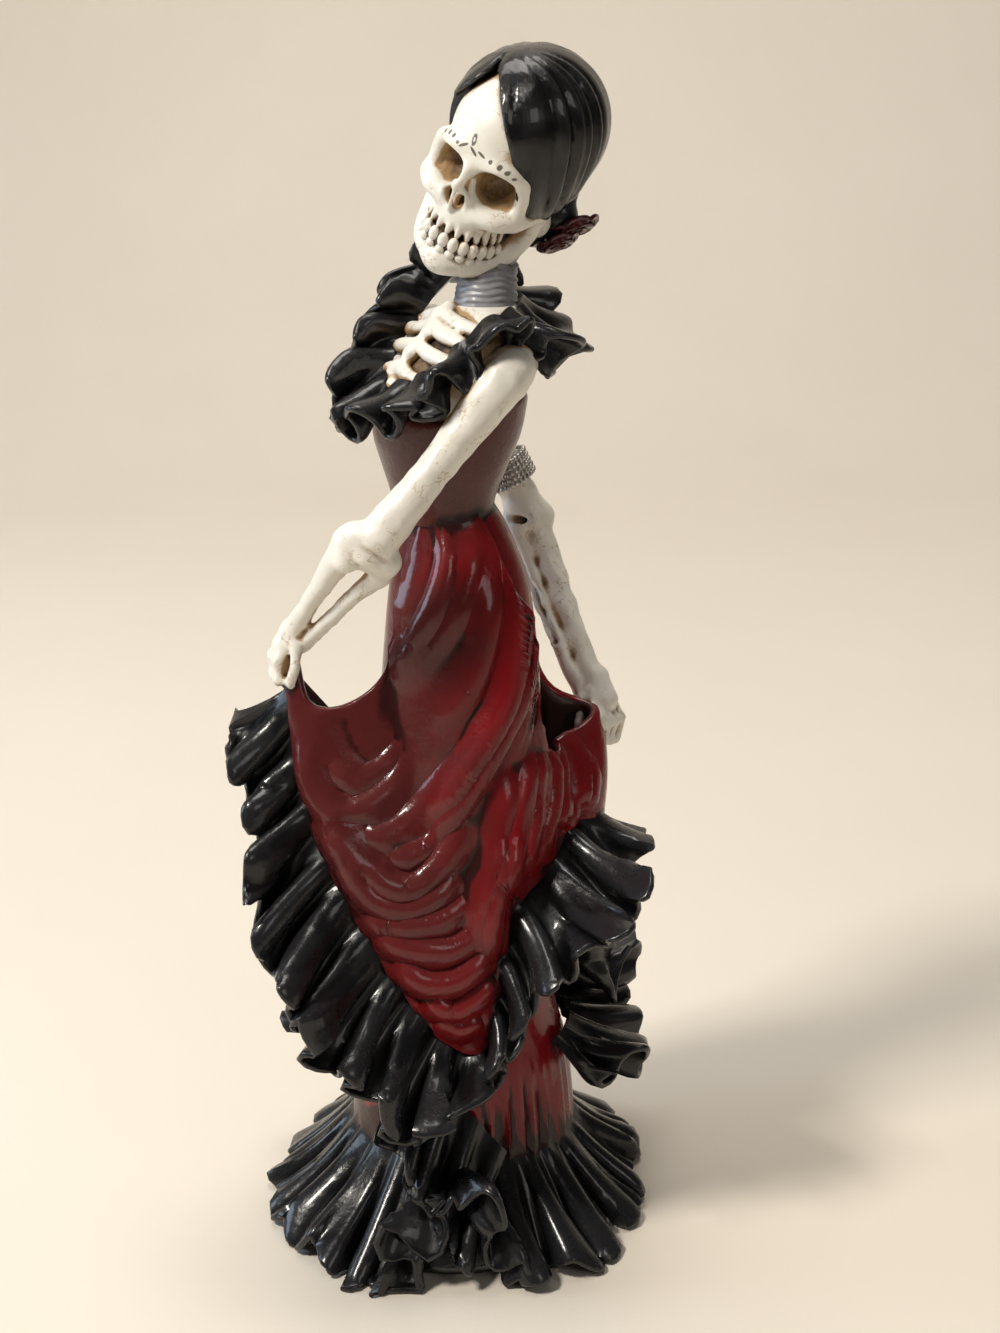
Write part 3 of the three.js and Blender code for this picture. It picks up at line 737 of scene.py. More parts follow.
@dataclass
class Dress:
    """The skirt, its overskirt drawn up to both hands, and all their frills.

    Attributes:
        core: Height to middle x, middle y, half width and half depth of the skirt underneath.
        over: Height to half width and half depth of the overskirt and its pull to each hand.
        left_pull: Height to the angle of the part drawn out at the left, and its spread.
        right_pull: The same at the right.
        edges: Angle to the heights of the overskirt's upper edge and hem.
        hem: Angle to the width of the hem's frill and the direction that it hangs in.
        folds: The overskirt's folds.
        cloth: Thickness of the cloth.
        waist: Height of the waist.
    """

    core: Rows
    over: Rows
    left_pull: Rows
    right_pull: Rows
    edges: Rows
    hem: Rows
    folds: list[Fold]
    cloth: float = 2.8
    waist: float = 193.0

    def __post_init__(self) -> None:
        """Turns the rows into curves."""
        self.core_at, self.over_at = Curve(self.core), Curve(self.over)
        self.left_at, self.right_at = Curve(self.left_pull), Curve(self.right_pull)
        self.edges_at, self.hem_at = Curve(self.edges), Curve(self.hem)

    def reach(self, angle: Array, z: Array) -> Array:
        """Distance from the axis to the overskirt without its folds.

        Args:
            angle: Angles, in degrees.
            z: Heights.

        Returns:
            A distance for each.
        """
        wide, deep, left, right = np.moveaxis(self.over_at(z), -1, 0)
        radians = np.radians(angle)
        total = 1 / np.hypot(np.cos(radians) / wide, np.sin(radians) / deep)
        for pull, amount in ((self.left_at(z), left), (self.right_at(z), right)):
            off = (angle - pull[..., 0] + 540) % 360 - 180
            total = total + amount * bell(off, pull[..., 1])
        return total

    def point(self, angle: Array, z: Array, out: float = 0.0) -> Array:
        """Points of the overskirt at angles in degrees and heights.

        Args:
            angle: The angles.
            z: The heights.
            out: How far outside the cloth they lie.

        Returns:
            The points.
        """
        angle, z = np.broadcast_arrays(np.asarray(angle, float), np.asarray(z, float))
        middle = self.core_at(z)
        r = self.reach(angle, z)
        lift = 1.2 * sum(fold.lift(angle % 360, z, r) for fold in self.folds) * np.clip((191 - z) / 10, 0, 1)
        r = r + out + lift
        radians = np.radians(angle)
        return np.stack([middle[..., 0] + r * np.cos(radians), middle[..., 1] + r * np.sin(radians), z], -1)

    def skirt(self) -> Shape:
        """The skirt underneath, from the base to the waist, grooved at its lower front.

        Returns:
            The closed shape.
        """
        z = np.linspace(4, self.waist, 90)[:, None]
        a = np.linspace(0, TURN, 120, endpoint=False)[None, :]
        x, y, wide, deep = np.moveaxis(self.core_at(z), -1, 0)
        low = np.clip((52 - z) / 14, 0, 1) * np.clip((z - 14) / 6, 0, 1)
        groove = low * bell((np.degrees(a) - 308 + 540) % 360 - 180, 34) * 0.9 * np.cos(a * 44 + 0.02 * z)
        ring = np.stack([x + (wide + groove) * np.cos(a), y + (deep + groove) * np.sin(a), z + 0 * a], -1)
        return tube(ring, Paint.CLOTH)

    def overskirt(self) -> Shape:
        """The overskirt down to its hem, with a rolled upper edge that thins out at the waist.

        Returns:
            The closed shape.
        """
        back, front = np.linspace(18, 180, 80, endpoint=False), np.linspace(180, 378, 230, endpoint=False)
        angle = np.concatenate([back, front])
        top, hem = np.moveaxis(self.edges_at(4 + (angle - 4) % 360), -1, 0)
        v = np.linspace(0, 1, 150)[None, :] ** 1.5
        z = hem[:, None] + (top - hem)[:, None] * v
        rise = np.clip((z - 168) / 20, 0, 1)
        grid = self.point(angle[:, None] + 0 * z, z, -1.4 * rise)
        thick = self.cloth - 1.6 * rise
        return sheet(grid, thick, Paint.CLOTH, loop=True, lean=1.0, rim=5)

    def hem_seam(self, share: Array) -> Seam:
        """The seam of the overskirt's own frill.

        Args:
            share: Shares of the seam.

        Returns:
            Its points, and the cloth's directions and widths.
        """
        angle = 4 + (share % 1) * 360
        width, x, y, z = np.moveaxis(self.hem_at(angle), -1, 0)
        return self.point(angle, self.edges_at(angle)[..., 1]), unit(np.stack([x, y, z], -1)), width

    def back_seam(self, share: Array) -> Seam:
        """The seam of the second frill, behind and at the right under the first.

        Args:
            share: Shares of the seam.

        Returns:
            Its points, and the cloth's directions and widths.
        """
        a = np.radians(-30 + 185 * share)
        start = np.stack([2 + 29 * np.cos(a), 29 * np.sin(a), 51 - 7 * share], -1)
        out = unit(np.stack([np.cos(a), np.sin(a), 0 * a - 0.6], -1))
        return start, out, 14 + 8 * np.clip(share * 6, 0, 1)

    def floor_seam(self, share: Array) -> Seam:
        """The seam of the frill that fans out to the floor, lifted off the base at the front.

        Args:
            share: Shares of the seam.

        Returns:
            Its points, and the cloth's directions and widths.
        """
        degrees = -98 + 360 * (share % 1)
        width, down = np.moveaxis(FLOOR_EDGE(degrees), -1, 0)
        a = np.radians(degrees)
        start = np.stack([1 + 27.5 * np.cos(a), 30 * np.sin(a), 24 + 0 * a], -1)
        return start, unit(np.stack([0.94 * np.cos(a), 1.06 * np.sin(a), down], -1)), width

    def front_seam(self, share: Array) -> Seam:
        """The seam of the frill that falls from the overskirt's point to the base.

        Args:
            share: Shares of the seam.

        Returns:
            Its points, and the cloth's directions and widths.
        """
        start = FRONT_SEAM(np.clip(share, 0, 1))
        out = np.tile(unit(np.array([-0.4, -0.42, -0.8])), (len(start), 1))
        return start, out, 20 + 6 * np.clip(share, 0, 1)

    def shapes(self) -> Iterable[Shape]:
        """All the dress's shapes.

        Returns:
            The shapes, one after another.
        """
        yield self.skirt()
        yield self.overskirt()
        yield Frill(
            self.hem_seam, 34, 0.5, 0.16, True,
            steps=20, columns=15, vary=0.42, droop=0.12, flare=0.4, seed=3,
        ).shape()
        yield Frill(
            self.back_seam, 10, 0.46, 0.16, False, vary=0.4, droop=0.12, flare=0.25, seed=5
        ).shape()
        yield Frill(
            self.floor_seam, 25, 0.42, 0.15, True, columns=15, vary=0.42, droop=0.1, flare=0.1, seed=7
        ).shape()
        yield Frill(
            self.front_seam, 4, 0.42, 0.14, False,
            columns=15, edge=2.0, vary=0.3, droop=0.05, flare=0.2, seed=14,
        ).shape()


FLOOR_EDGE = Curve([
    [-98, 16, 0.1], [-88, 16, 0.1], [-79, 22, -0.5], [-70, 31, -1.1], [-50, 29, -1.15],
    [90, 29, -1.15], [230, 29, -1.15], [246, 32, -1.1], [253, 30, -1], [258, 20, -0.3],
    [262, 16, 0.1],
])
FRONT_SEAM = route([[-10, -27, 53], [-2, -29, 44], [6, -30, 35], [13, -31, 27]])

DRESS = Dress(
    core=[
        [0, 0, 0, 34, 34], [12, 1, 0, 31, 31], [24, 2, 0, 30, 30], [44, 2, 0, 28, 28],
        [57, 2, 0, 24.6, 26], [72, 2, 0, 23.2, 25.6], [90, 2, 0, 22.6, 25], [109, 2, 0, 22, 23.6],
        [127, 2, 0, 21.2, 21], [145, 2, 0, 20.2, 18.6], [157, 2, 0, 19.2, 17.1],
        [172, 1.7, 0, 17.3, 15.6], [186, 0.4, 0, 13.3, 12.8], [193, -2, 0, 11.5, 11],
    ],
    over=[
        [24, 31, 31, 0, 0], [44, 29, 29, 0, 0], [57, 26, 27.5, 2, 0], [72, 24.5, 27, 6, 3],
        [90, 24, 26.5, 11, 7], [109, 23.5, 25, 17, 11], [127, 22.5, 22.5, 20, 13],
        [145, 21.5, 20, 22, 9], [157, 20.5, 18.5, 22, 3], [172, 18.5, 17, 8, 0],
        [186, 14.5, 14, 0, 0], [193, 12.5, 12, 0, 0],
    ],
    left_pull=[
        [57, 262, 36], [72, 247, 34], [85, 235, 32], [109, 218, 24], [130, 205, 17],
        [150, 196, 13], [165, 194, 10],
    ],
    right_pull=[[57, -4, 40], [90, 0, 34], [109, 4, 25], [127, 12, 14], [140, 15, 10]],
    edges=[
        [4, 131, 109], [13, 134, 96], [26, 140, 70], [40, 162, 58], [56, 188, 50], [90, 190, 46],
        [124, 188, 52], [140, 150, 62], [155, 128, 78], [170, 121, 96], [181, 124, 112],
        [187, 135, 126], [192, 150, 141], [197, 156, 149], [203, 144.5, 136], [209, 143, 124],
        [214, 149, 114], [220, 166, 105], [228, 182, 94], [240, 189, 80], [249, 190, 71],
        [262, 190, 61], [272, 190, 57], [282, 190, 58.5], [287, 190, 70], [291, 190, 83],
        [297, 190, 91.5], [309, 188, 97], [318, 166, 99], [328, 138, 103], [341, 127, 110],
        [352, 129, 110], [364, 131, 109],
    ],
    hem=[
        [4, 14, 0.8, -0.1, -0.6], [14, 12, 0.9, 0.1, -0.5], [24, 16, 1, 0.1, -0.5],
        [34, 25, 0.95, 0.12, -0.5], [48, 25, 0.7, 0.6, -0.5], [90, 22, 0, 1, -0.7],
        [135, 22, -0.7, 0.7, -0.6], [168, 20, -0.95, 0.4, -0.5], [188, 19, -0.8, 0.2, -0.6],
        [198, 22, -0.75, 0.1, -0.65], [205, 14, -0.8, 0, -0.65], [212, 16, -0.85, -0.2, -0.6],
        [220, 23, -0.8, -0.35, -0.55], [235, 28, -0.75, -0.5, -0.55], [249, 28, -0.62, -0.6, -0.62],
        [262, 23, -0.45, -0.65, -0.72], [268, 18, -0.3, -0.65, -0.8], [274, 13, 0, -0.65, -0.8],
        [284, 10, 0.4, -0.5, -0.7], [289, 13, 0.65, -0.5, -0.6], [295, 18, 0.75, -0.5, -0.6],
        [309, 23, 0.7, -0.62, -0.55], [327, 24, 0.72, -0.52, -0.52], [343, 20, 0.75, -0.3, -0.5],
        [352, 16, 0.8, 0, -0.65], [364, 14, 0.8, -0.1, -0.6],
    ],
    folds=[
        Fold([[246, 190], [261, 187], [262, 180], [252, 168], [236, 158]], 0.8, 1.7, 0.35),
        Fold([[236, 188], [244, 181], [238, 172], [224, 160]], 0.8, 2.2, 0.3),
        Fold([[272, 190], [266, 180], [254, 169], [236, 158], [220, 150]], 0.7, 2.4, 0.2),
        Fold([[292, 187], [278, 176], [262, 165], [245, 157], [226, 147]], 1.3, 3.4),
        Fold([[308, 187], [299, 171], [288, 158], [273, 147.5], [252, 138]], 0.8, 2.6, 0.2),
        Fold(
            [[326, 188], [320, 174], [315, 161], [303, 147], [285, 135.5], [266, 123], [250, 114]],
            2.6, 2.0, -2.0, 2.0,
        ),
        Fold([[338, 180], [328, 166], [322, 154], [313, 142], [300, 130]], 0.9, 1.4, -0.6),
        Fold([[348, 174], [339, 159], [333, 146], [325, 134]], 0.8, 1.4, -0.6),
        Fold([[204, 145], [209, 137], [215, 130.5], [223, 128], [233, 137]], 0.8, 1.6, 1.3),
        Fold([[206, 138], [210, 129], [214.5, 123.5], [222, 120], [229, 123], [240, 135]], 1.5, 1.7, 1.5),
        Fold([[222, 117.5], [228, 114], [236, 114.5], [249, 122], [277, 137]], 0.9, 1.6, 0.7),
        Fold(
            [[216, 122], [224, 113], [233, 106.5], [241, 102.5], [250, 102], [261, 108], [277, 120]],
            2.2, 2.1, 1.9,
        ),
        Fold([[238, 109], [247, 109.5], [256, 112], [273, 123]], 1.1, 1.6, 0.7),
        Fold([[226, 110], [232, 102], [238, 98], [247, 96.5], [258, 99], [270, 105]], 1.9, 1.9, 1.5),
        Fold([[232, 95], [240, 92.5], [250, 92.5], [262, 94], [274, 98]], 1.6, 1.8, 1.2),
        Fold([[236, 90], [245, 87.5], [254.5, 86.5], [266, 86], [280, 89]], 1.6, 1.8, 1.2),
        Fold([[243, 84], [254, 78], [264, 77.5], [273, 79.5], [284, 84]], 2.0, 1.9, 1.6),
        Fold([[254, 74], [266, 69.5], [278, 73], [285, 76]], 1.6, 1.8, 1.2),
        Fold([[260, 67], [269, 64], [278, 66]], 1.2, 1.6, 0.8),
        Fold([[307, 131], [297, 119], [289, 107], [283, 99], [279.5, 91], [279, 80]], 2.0, 2.1, -1.6),
        Fold([[296, 113], [290, 103], [286, 94.5], [284, 80]], 1.8, 1.6, -1.4),
        Fold([[318, 132], [311, 120.5], [301, 108.5], [292, 97]], 1.8, 1.8, -1.2),
        Fold([[330, 131], [325, 120.5], [313, 111], [302, 101]], 2.0, 2.1, -1.4),
        Fold([[341, 129], [335, 121], [325, 112], [314, 103]], 1.4, 1.6, -1.1),
        Fold([[350, 131], [342, 119], [332, 110]], 2.0, 2.1, -1.2),
        Fold([[362, 131], [356, 123], [347, 113]], 1.6, 1.8, -1.1),
        Fold([[150, 150], [130, 120], [110, 90], [100, 56]], 2.0, 4.0, 0.6),
        Fold([[40, 140], [56, 112], [72, 86], [80, 56]], 2.0, 4.0, 0.6),
        Fold([[80, 184], [72, 150], [64, 100], [62, 66]], 1.8, 3.6, 0.6),
        Fold([[104, 184], [120, 150], [132, 110], [136, 70]], 1.8, 3.6, 0.6),
        Fold([[92, 186], [94, 150], [92, 110], [90, 60]], 1.2, 2.4, 0.6),
        Fold([[30, 150], [40, 120], [46, 92], [50, 66]], 1.2, 2.2, 0.6),
        Fold([[160, 140], [150, 116], [140, 96], [130, 70]], 1.2, 2.2, 0.6),
    ],
)


@dataclass
class Base:
    """The low oval base under the dress.

    Attributes:
        radius: Its radius before it is made oval.
        height: The height of its upper edge.
        wide: Its width as a share of that.
        deep: Its depth as a share of that.
    """

    radius: float = 42.0
    height: float = 7.0
    wide: float = 0.94
    deep: float = 1.04

    def shapes(self) -> Iterable[Shape]:
        """The base's one shape, with a soft upper edge.

        Returns:
            The shape.
        """
        r, h = self.radius, self.height
        profile = Curve([
            [0, r - 1.0, 0.0], [0.12, r - 0.3, 0.4], [0.3, r, 1.2], [0.6, r - 1, 4.2],
            [0.7, r - 2.2, 6.8], [0.8, r - 5, h + 2.4], [0.9, r - 9, h + 7], [1, r - 14, h + 13],
        ])(np.linspace(0, 1, 26))
        a = np.linspace(0, TURN, 120, endpoint=False)
        ring = np.stack([self.wide * np.cos(a), self.deep * np.sin(a)], -1)
        rings = [np.column_stack([radius * ring, np.full(len(a), z)]) for radius, z in profile]
        yield tube(np.array(rings), Paint.BASE)


@dataclass
class Torso:
    """The bodice, the bare chest with its ribs, the neck and the collar.

    Attributes:
        turn: How far the chest turns to the viewer's left, in degrees.
        rows: Height to middle x, middle y, half depth and half width.
        neckline: Share of the way round to the collar's seam, the frill's direction and its width.
        cell: Size of the cells that the bones are modelled in.
    """

    turn: float
    rows: Rows
    neckline: Rows
    cell: float = 0.6

    def __post_init__(self) -> None:
        """Works out the chest's own directions and curves."""
        a = math.radians(self.turn)
        self.front = np.array([-math.sin(a), -math.cos(a), 0])
        self.side = np.array([math.cos(a), -math.sin(a), 0])
        self.at, self.neckline_at = Curve(self.rows), Curve(self.neckline)

    def point(self, z: Array, degrees: Array, out: Array = 0.0) -> Array:
        """Points of the chest at heights and angles from its front towards her left.

        Args:
            z: The heights.
            degrees: The angles.
            out: How far outside the chest they lie.

        Returns:
            The points.
        """
        z, degrees = np.broadcast_arrays(np.asarray(z, float), np.asarray(degrees, float))
        x, y, deep, wide = np.moveaxis(self.at(z), -1, 0)
        a = np.radians(degrees)
        middle = np.stack([x, y, z], -1)
        forward = ((deep + out) * np.cos(a))[..., None] * self.front
        return middle + forward + ((wide + out) * np.sin(a))[..., None] * self.side

    def chest(self) -> Shape:
        """The bare chest, under the bodice and above it.

        Returns:
            The closed shape.
        """
        z = np.linspace(200, self.rows[-1][0], 50)[:, None]
        degrees = -np.linspace(0, 360, 90, endpoint=False)[None, :]
        return tube(self.point(z, degrees, -0.6), Paint.BONE)

    def bodice(self) -> Shape:
        """The bodice, whose upper edge runs up to the shoulder.

        Returns:
            The closed shape.
        """
        degrees = -np.linspace(0, 360, 110, endpoint=False)[None, :]
        top = 213 + 6.5 * np.cos(np.radians(degrees - 150)) + 8 * bell((degrees + 540) % 360 - 180, 48)
        v = np.linspace(0, 1, 46)[:, None]
        z = 188 + (top - 188) * v
        out = 0.8 * np.sqrt(np.clip(1 - np.clip((v - 0.93) / 0.07, 0, 1) ** 2, 0, 1))
        return tube(self.point(z, degrees + 0 * z, out), Paint.BODICE)

    def bones(self) -> Shape:
        """Breastbone, ribs and collarbones.

        Returns:
            The closed shape.
        """
        clay = Clay((-24, -28, 208), (32, 28, 268), self.cell)
        clay.add(Limb(self.stations([222, 228, 234, 239], 0, 0.2, 2.1)))
        for z in (224, 229, 233.5, 237.5):
            clay.add(Egg(tuple(self.point(z, 4 * math.sin(z), 0.9)), (2.5, 2.3, 2.0)), 0.8)
        for side in (-1, 1):
            for i in range(4):
                z = 235.4 - i * 4.8 + 0.5 * math.sin(2.4 * i)
                path = [(z - k * 1.4, side * a, 1.1) for k, a in enumerate((3, 20, 42))]
                radii = [1.95 + 0.3 * math.sin(1.9 * i + a) for _, a, _ in path]
                stations = [[*self.point(*spot), radius] for spot, radius in zip(path, radii)]
                clay.add(Limb(stations, 4), 0.7)
            collar = [[*self.point(238.5 - a * 0.06, side * a, 1.2), 1.7] for a in (6, 34, 64)]
            clay.add(Limb(collar, 4), 0.8)
        return clay.surface(Paint.BONE)

    def neck(self) -> Shape:
        """The neck, wrinkled all round and cracked at its left.

        Returns:
            The closed shape.
        """
        stack = route([
            [7.5, 0, 234, 7.8], [8.5, 0, 240, 7.4], [9.2, 1, 247, 6.7], [11.3, 3.4, 255, 5.6],
            [13.4, 5, 263, 5.0],
        ])
        share, a = np.linspace(0, 1, 130)[:, None], -np.linspace(0, TURN, 110, endpoint=False)[None, :]
        x, y, z, r = np.moveaxis(stack(share + 0 * a), -1, 0)
        phase = 58 * share + 0.8 * np.sin(2 * a + 1) + 0.5 * np.sin(5 * a + 9 * share)
        wrinkle = 0.3 * np.sin(phase) ** 2 + 0.22 * np.sin(0.43 * phase + 3 * a) ** 2
        crack = 1.1 * bell((share - 0.78 - 0.02 * np.sin(4 * a)) * 32, 0.7)
        crack = crack + 0.9 * bell((share - 0.6 - 0.03 * np.sin(3 * a)) * 32, 0.6)
        r = r + wrinkle - crack
        return tube(np.stack([x + r * np.cos(a), y + r * np.sin(a), z], -1), Paint.NECK)

    def stations(self, heights: list[float], degrees: float, out: float, radius: float) -> Rows:
        """Stations of a bar that runs up the chest."""
        return [[*self.point(z, degrees, out), radius] for z in heights]

    def collar_seam(self, share: Array) -> Seam:
        """The seam of the frill round the neckline."""
        row = self.neckline_at(share % 1)
        return row[..., :3], unit(row[..., 3:6]), row[..., 6]

    def shapes(self) -> Iterable[Shape]:
        """All the torso's shapes.

        Returns:
            The shapes, one after another.
        """
        yield self.chest()
        yield self.bodice()
        yield self.bones()
        yield self.neck()
        yield Frill(
            self.collar_seam, 14, 0.46, 0.16, True, edge=1.7, vary=0.32, droop=0.08, flare=0.16, seed=11
        ).shape()


TORSO = Torso(
    turn=65,
    rows=[
        [186, -2, 0, 11.8, 12.6], [193, -2, 0, 11.8, 13], [201, -1.6, 0, 14.4, 16],
        [209, -1, 0, 17.2, 18], [217, 0, 0, 17.6, 19.2], [220, 1, 0.2, 16.4, 19.6],
        [225, 2.4, 0.5, 14.8, 21], [230, 4, 0.6, 12.6, 22.5], [236, 6.6, 0.4, 9.6, 17],
        [240, 8, 0, 8, 10],
    ],
    neckline=[
        [0.0, -15.5, -9, 221, -0.72, -0.42, -0.6, 15], [0.09, -9, -17, 223, -0.4, -0.7, -0.6, 12],
        [0.18, -1, -21.5, 227.5, 0, -0.8, -0.6, 10], [0.27, 6, -21, 235, 0.15, -0.75, -0.35, 8],
        [0.36, 13, -15, 238.5, 0.6, -0.6, -0.4, 10], [0.45, 17, -4, 238.5, 0.75, -0.15, -1, 15],
        [0.54, 17, 6, 240, 0.8, 0.4, -0.9, 12], [0.63, 10, 15, 243.5, 0.3, 0.9, -0.3, 11],
        [0.72, 1, 19, 245.5, -0.4, 0.5, 0.6, 9], [0.8, -6, 16.5, 240, -0.8, -0.1, 0.45, 10],
        [0.88, -12, 10, 232, -0.88, -0.3, 0.12, 11.5], [0.95, -15, 1, 226, -0.86, -0.35, -0.22, 13],
        [1.0, -15.5, -9, 221, -0.72, -0.42, -0.6, 15],
    ],
)


@dataclass
class Arm:
    """A bare arm of bone and its hand, closed on the cloth.

    Attributes:
        bars: The long bones as lists of stations.
        knobs: Rounded ends as (x, y, z, radius).
        grooves: Lines cut at the joints, as lists of stations.
        wrist: Where the hand starts.
        forward: Where the knuckles point.
        across: From the little finger to the first.
        down: Where the fingers curl to.
        low: Lowest corner of the block that the arm is modelled in.
        high: Highest corner.
        size: Size of the hand.
        lumps: How far the bone's knots stand out.
        cell: Size of the block's cells.
    """

    bars: list[Rows]
    knobs: Rows
    grooves: list[Rows]
    wrist: Spot
    forward: Spot
    across: Spot
    down: Spot
    low: Spot
    high: Spot
    size: float = 1.0
    lumps: float = 0.1
    cell: float = 0.6

    def spot(self, f: float, a: float, d: float, radius: float) -> list[float]:
        """A station of the hand, from its steps forward, across and down.

        Args:
            f: How far forward.
            a: How far across.
            d: How far down.
            radius: Its radius.

        Returns:
            Its x, y, z and radius.
        """
        ways = [unit(np.array(way, float)) for way in (self.forward, self.across, self.down)]
        step = self.size * (f * ways[0] + a * ways[1] + d * ways[2])
        return [*(np.array(self.wrist) + step), radius * self.size]

    def hand(self, clay: Clay) -> None:
        """Adds the palm, four fingers of three bones and the thumb.

        Args:
            clay: The block that the arm is in.
        """
        clay.add(Limb([self.spot(-1, 0, -1, 3.0), self.spot(2.5, 0, 1, 3.4), self.spot(4.2, 0, 7, 2.6)]), 1.5)
        for i in range(4):
            a = (i - 1.5) * 2.3
            joints = [self.spot(0.5, a * 0.7, 0, 1.5), self.spot(6.5, a, 2.5, 1.35)]
            joints += [self.spot(6.9, a, 7, 1.25), self.spot(3.4, a * 0.9, 9.6, 1.05)]
            for one, two in zip(joints[:-1], joints[1:]):
                middle = [(p + q) / 2 for p, q in zip(one[:3], two[:3])]
                clay.add(Limb([one, [*middle, one[3] * 0.78], two]), 0.35)
                clay.add(Egg(tuple(two[:3]), (two[3] * 1.12,) * 3), 0.3)
        thumb = [self.spot(0, 3, 2, 1.6), self.spot(1.5, 4.6, 6, 1.3), self.spot(3.5, 3.6, 10, 1.2)]
        clay.add(Limb(thumb), 0.5)

    def shapes(self) -> Iterable[Shape]:
        """The arm and its hand as one shape.

        Returns:
            The shape.
        """
        clay = Clay(self.low, self.high, self.cell)
        for bar in self.bars:
            clay.add(Limb(bar, 5), 0.8)
        for x, y, z, radius in self.knobs:
            clay.add(Egg((x, y, z), (radius,) * 3), 1.2)
        for groove in self.grooves:
            clay.cut(Limb(groove, 4), 0.5)
        self.hand(clay)
        _, points = clay.points()
        x, y, z = np.moveaxis(points, -1, 0)
        knots = np.sin(1.1 * x + 0.4 * z) * np.sin(1.2 * y) + np.sin(0.8 * z + 1.3 * np.sin(0.7 * x))
        clay.values -= self.lumps * knots
        yield clay.surface(Paint.BONE)


LEFT_ARM = Arm(
    bars=[
        [
            [15.5, -19, 228, 5.2], [12.5, -24.5, 225, 5.9], [-2, -30, 207, 4.3], [-12, -33, 195, 4.9],
            [-18, -34, 188, 5.6],
        ],
        [
            [-23, -33, 188.5, 4.2], [-27.5, -29.5, 181.5, 3.1], [-33.5, -21.5, 171.5, 2.4],
            [-39, -14.2, 162, 2.7],
        ],
        [
            [-16, -32, 181, 3.0], [-22, -28.5, 175.5, 2.1], [-30.5, -20, 165.5, 1.9],
            [-37, -13.5, 158.8, 2.5],
        ],
    ],
    knobs=[[-15, -33.5, 184.5, 4.2], [-21.5, -34, 190, 4.4], [-23.5, -35, 185.5, 3.2]],
    grooves=[
        [
            [-26, -35.5, 195, 0.8], [-22.5, -38.4, 192.4, 0.8], [-18.5, -39.2, 188.6, 0.8],
            [-13, -37.8, 184.6, 0.8],
        ],
        [[-21, -37.6, 184.5, 0.6], [-18, -37, 180.5, 0.6]],
    ],
    wrist=(-38.8, -14, 161.5),
    forward=(-0.75, 0.2, -0.6),
    across=(0.3, -0.95, 0),
    down=(0.1, 0, -1),
    low=(-54, -44, 140),
    high=(26, 0, 238),
)
RIGHT_ARM = Arm(
    bars=[
        [[-7, 17, 232, 5], [-4, 26, 229, 6.2], [6, 30, 209, 4.6], [14.5, 32, 192, 4.7], [20, 33, 180, 6.0]],
        [[20.5, 32, 178, 4.8], [26, 29, 166, 3.7], [32, 22, 151, 3.0], [37.4, 16, 138.5, 3.3]],
        [[17, 31, 177, 4.2], [20.5, 28, 166, 2.4], [27, 21, 150, 2.0], [33.5, 15.5, 138, 2.6]],
        [[18.7, 31.5, 177, 3.6], [23.4, 29.2, 166, 2.5], [29.6, 22.1, 150.4, 2.1], [35.4, 16, 138.3, 2.4]],
    ],
    knobs=[[17, 31, 179, 4.6], [22, 33, 180, 4.4]],
    grooves=[
        [[11, 28.5, 184, 1.0], [15, 27.5, 181.5, 1.2], [20, 28.5, 180.5, 1.0]],
        [[11.5, 27.8, 190, 1.1], [12.5, 27.6, 188, 1.3]],
        [[15.5, 28, 173, 0.9], [20.5, 25.5, 163, 1.0], [26.5, 19.5, 150, 0.9]],
    ],
    wrist=(37.4, 16, 138.5),
    forward=(0.6, -0.7, -0.55),
    across=(-0.6, -0.8, 0.1),
    down=(-0.3, 0, -1),
    low=(-16, -8, 108),
    high=(58, 44, 242),
    size=1.25,
    lumps=0.18,
)


TOOTH_ANGLES = [-84, -68, -52, -36, -18, 0, 16, 31, 45, 58.5, 72, 86]


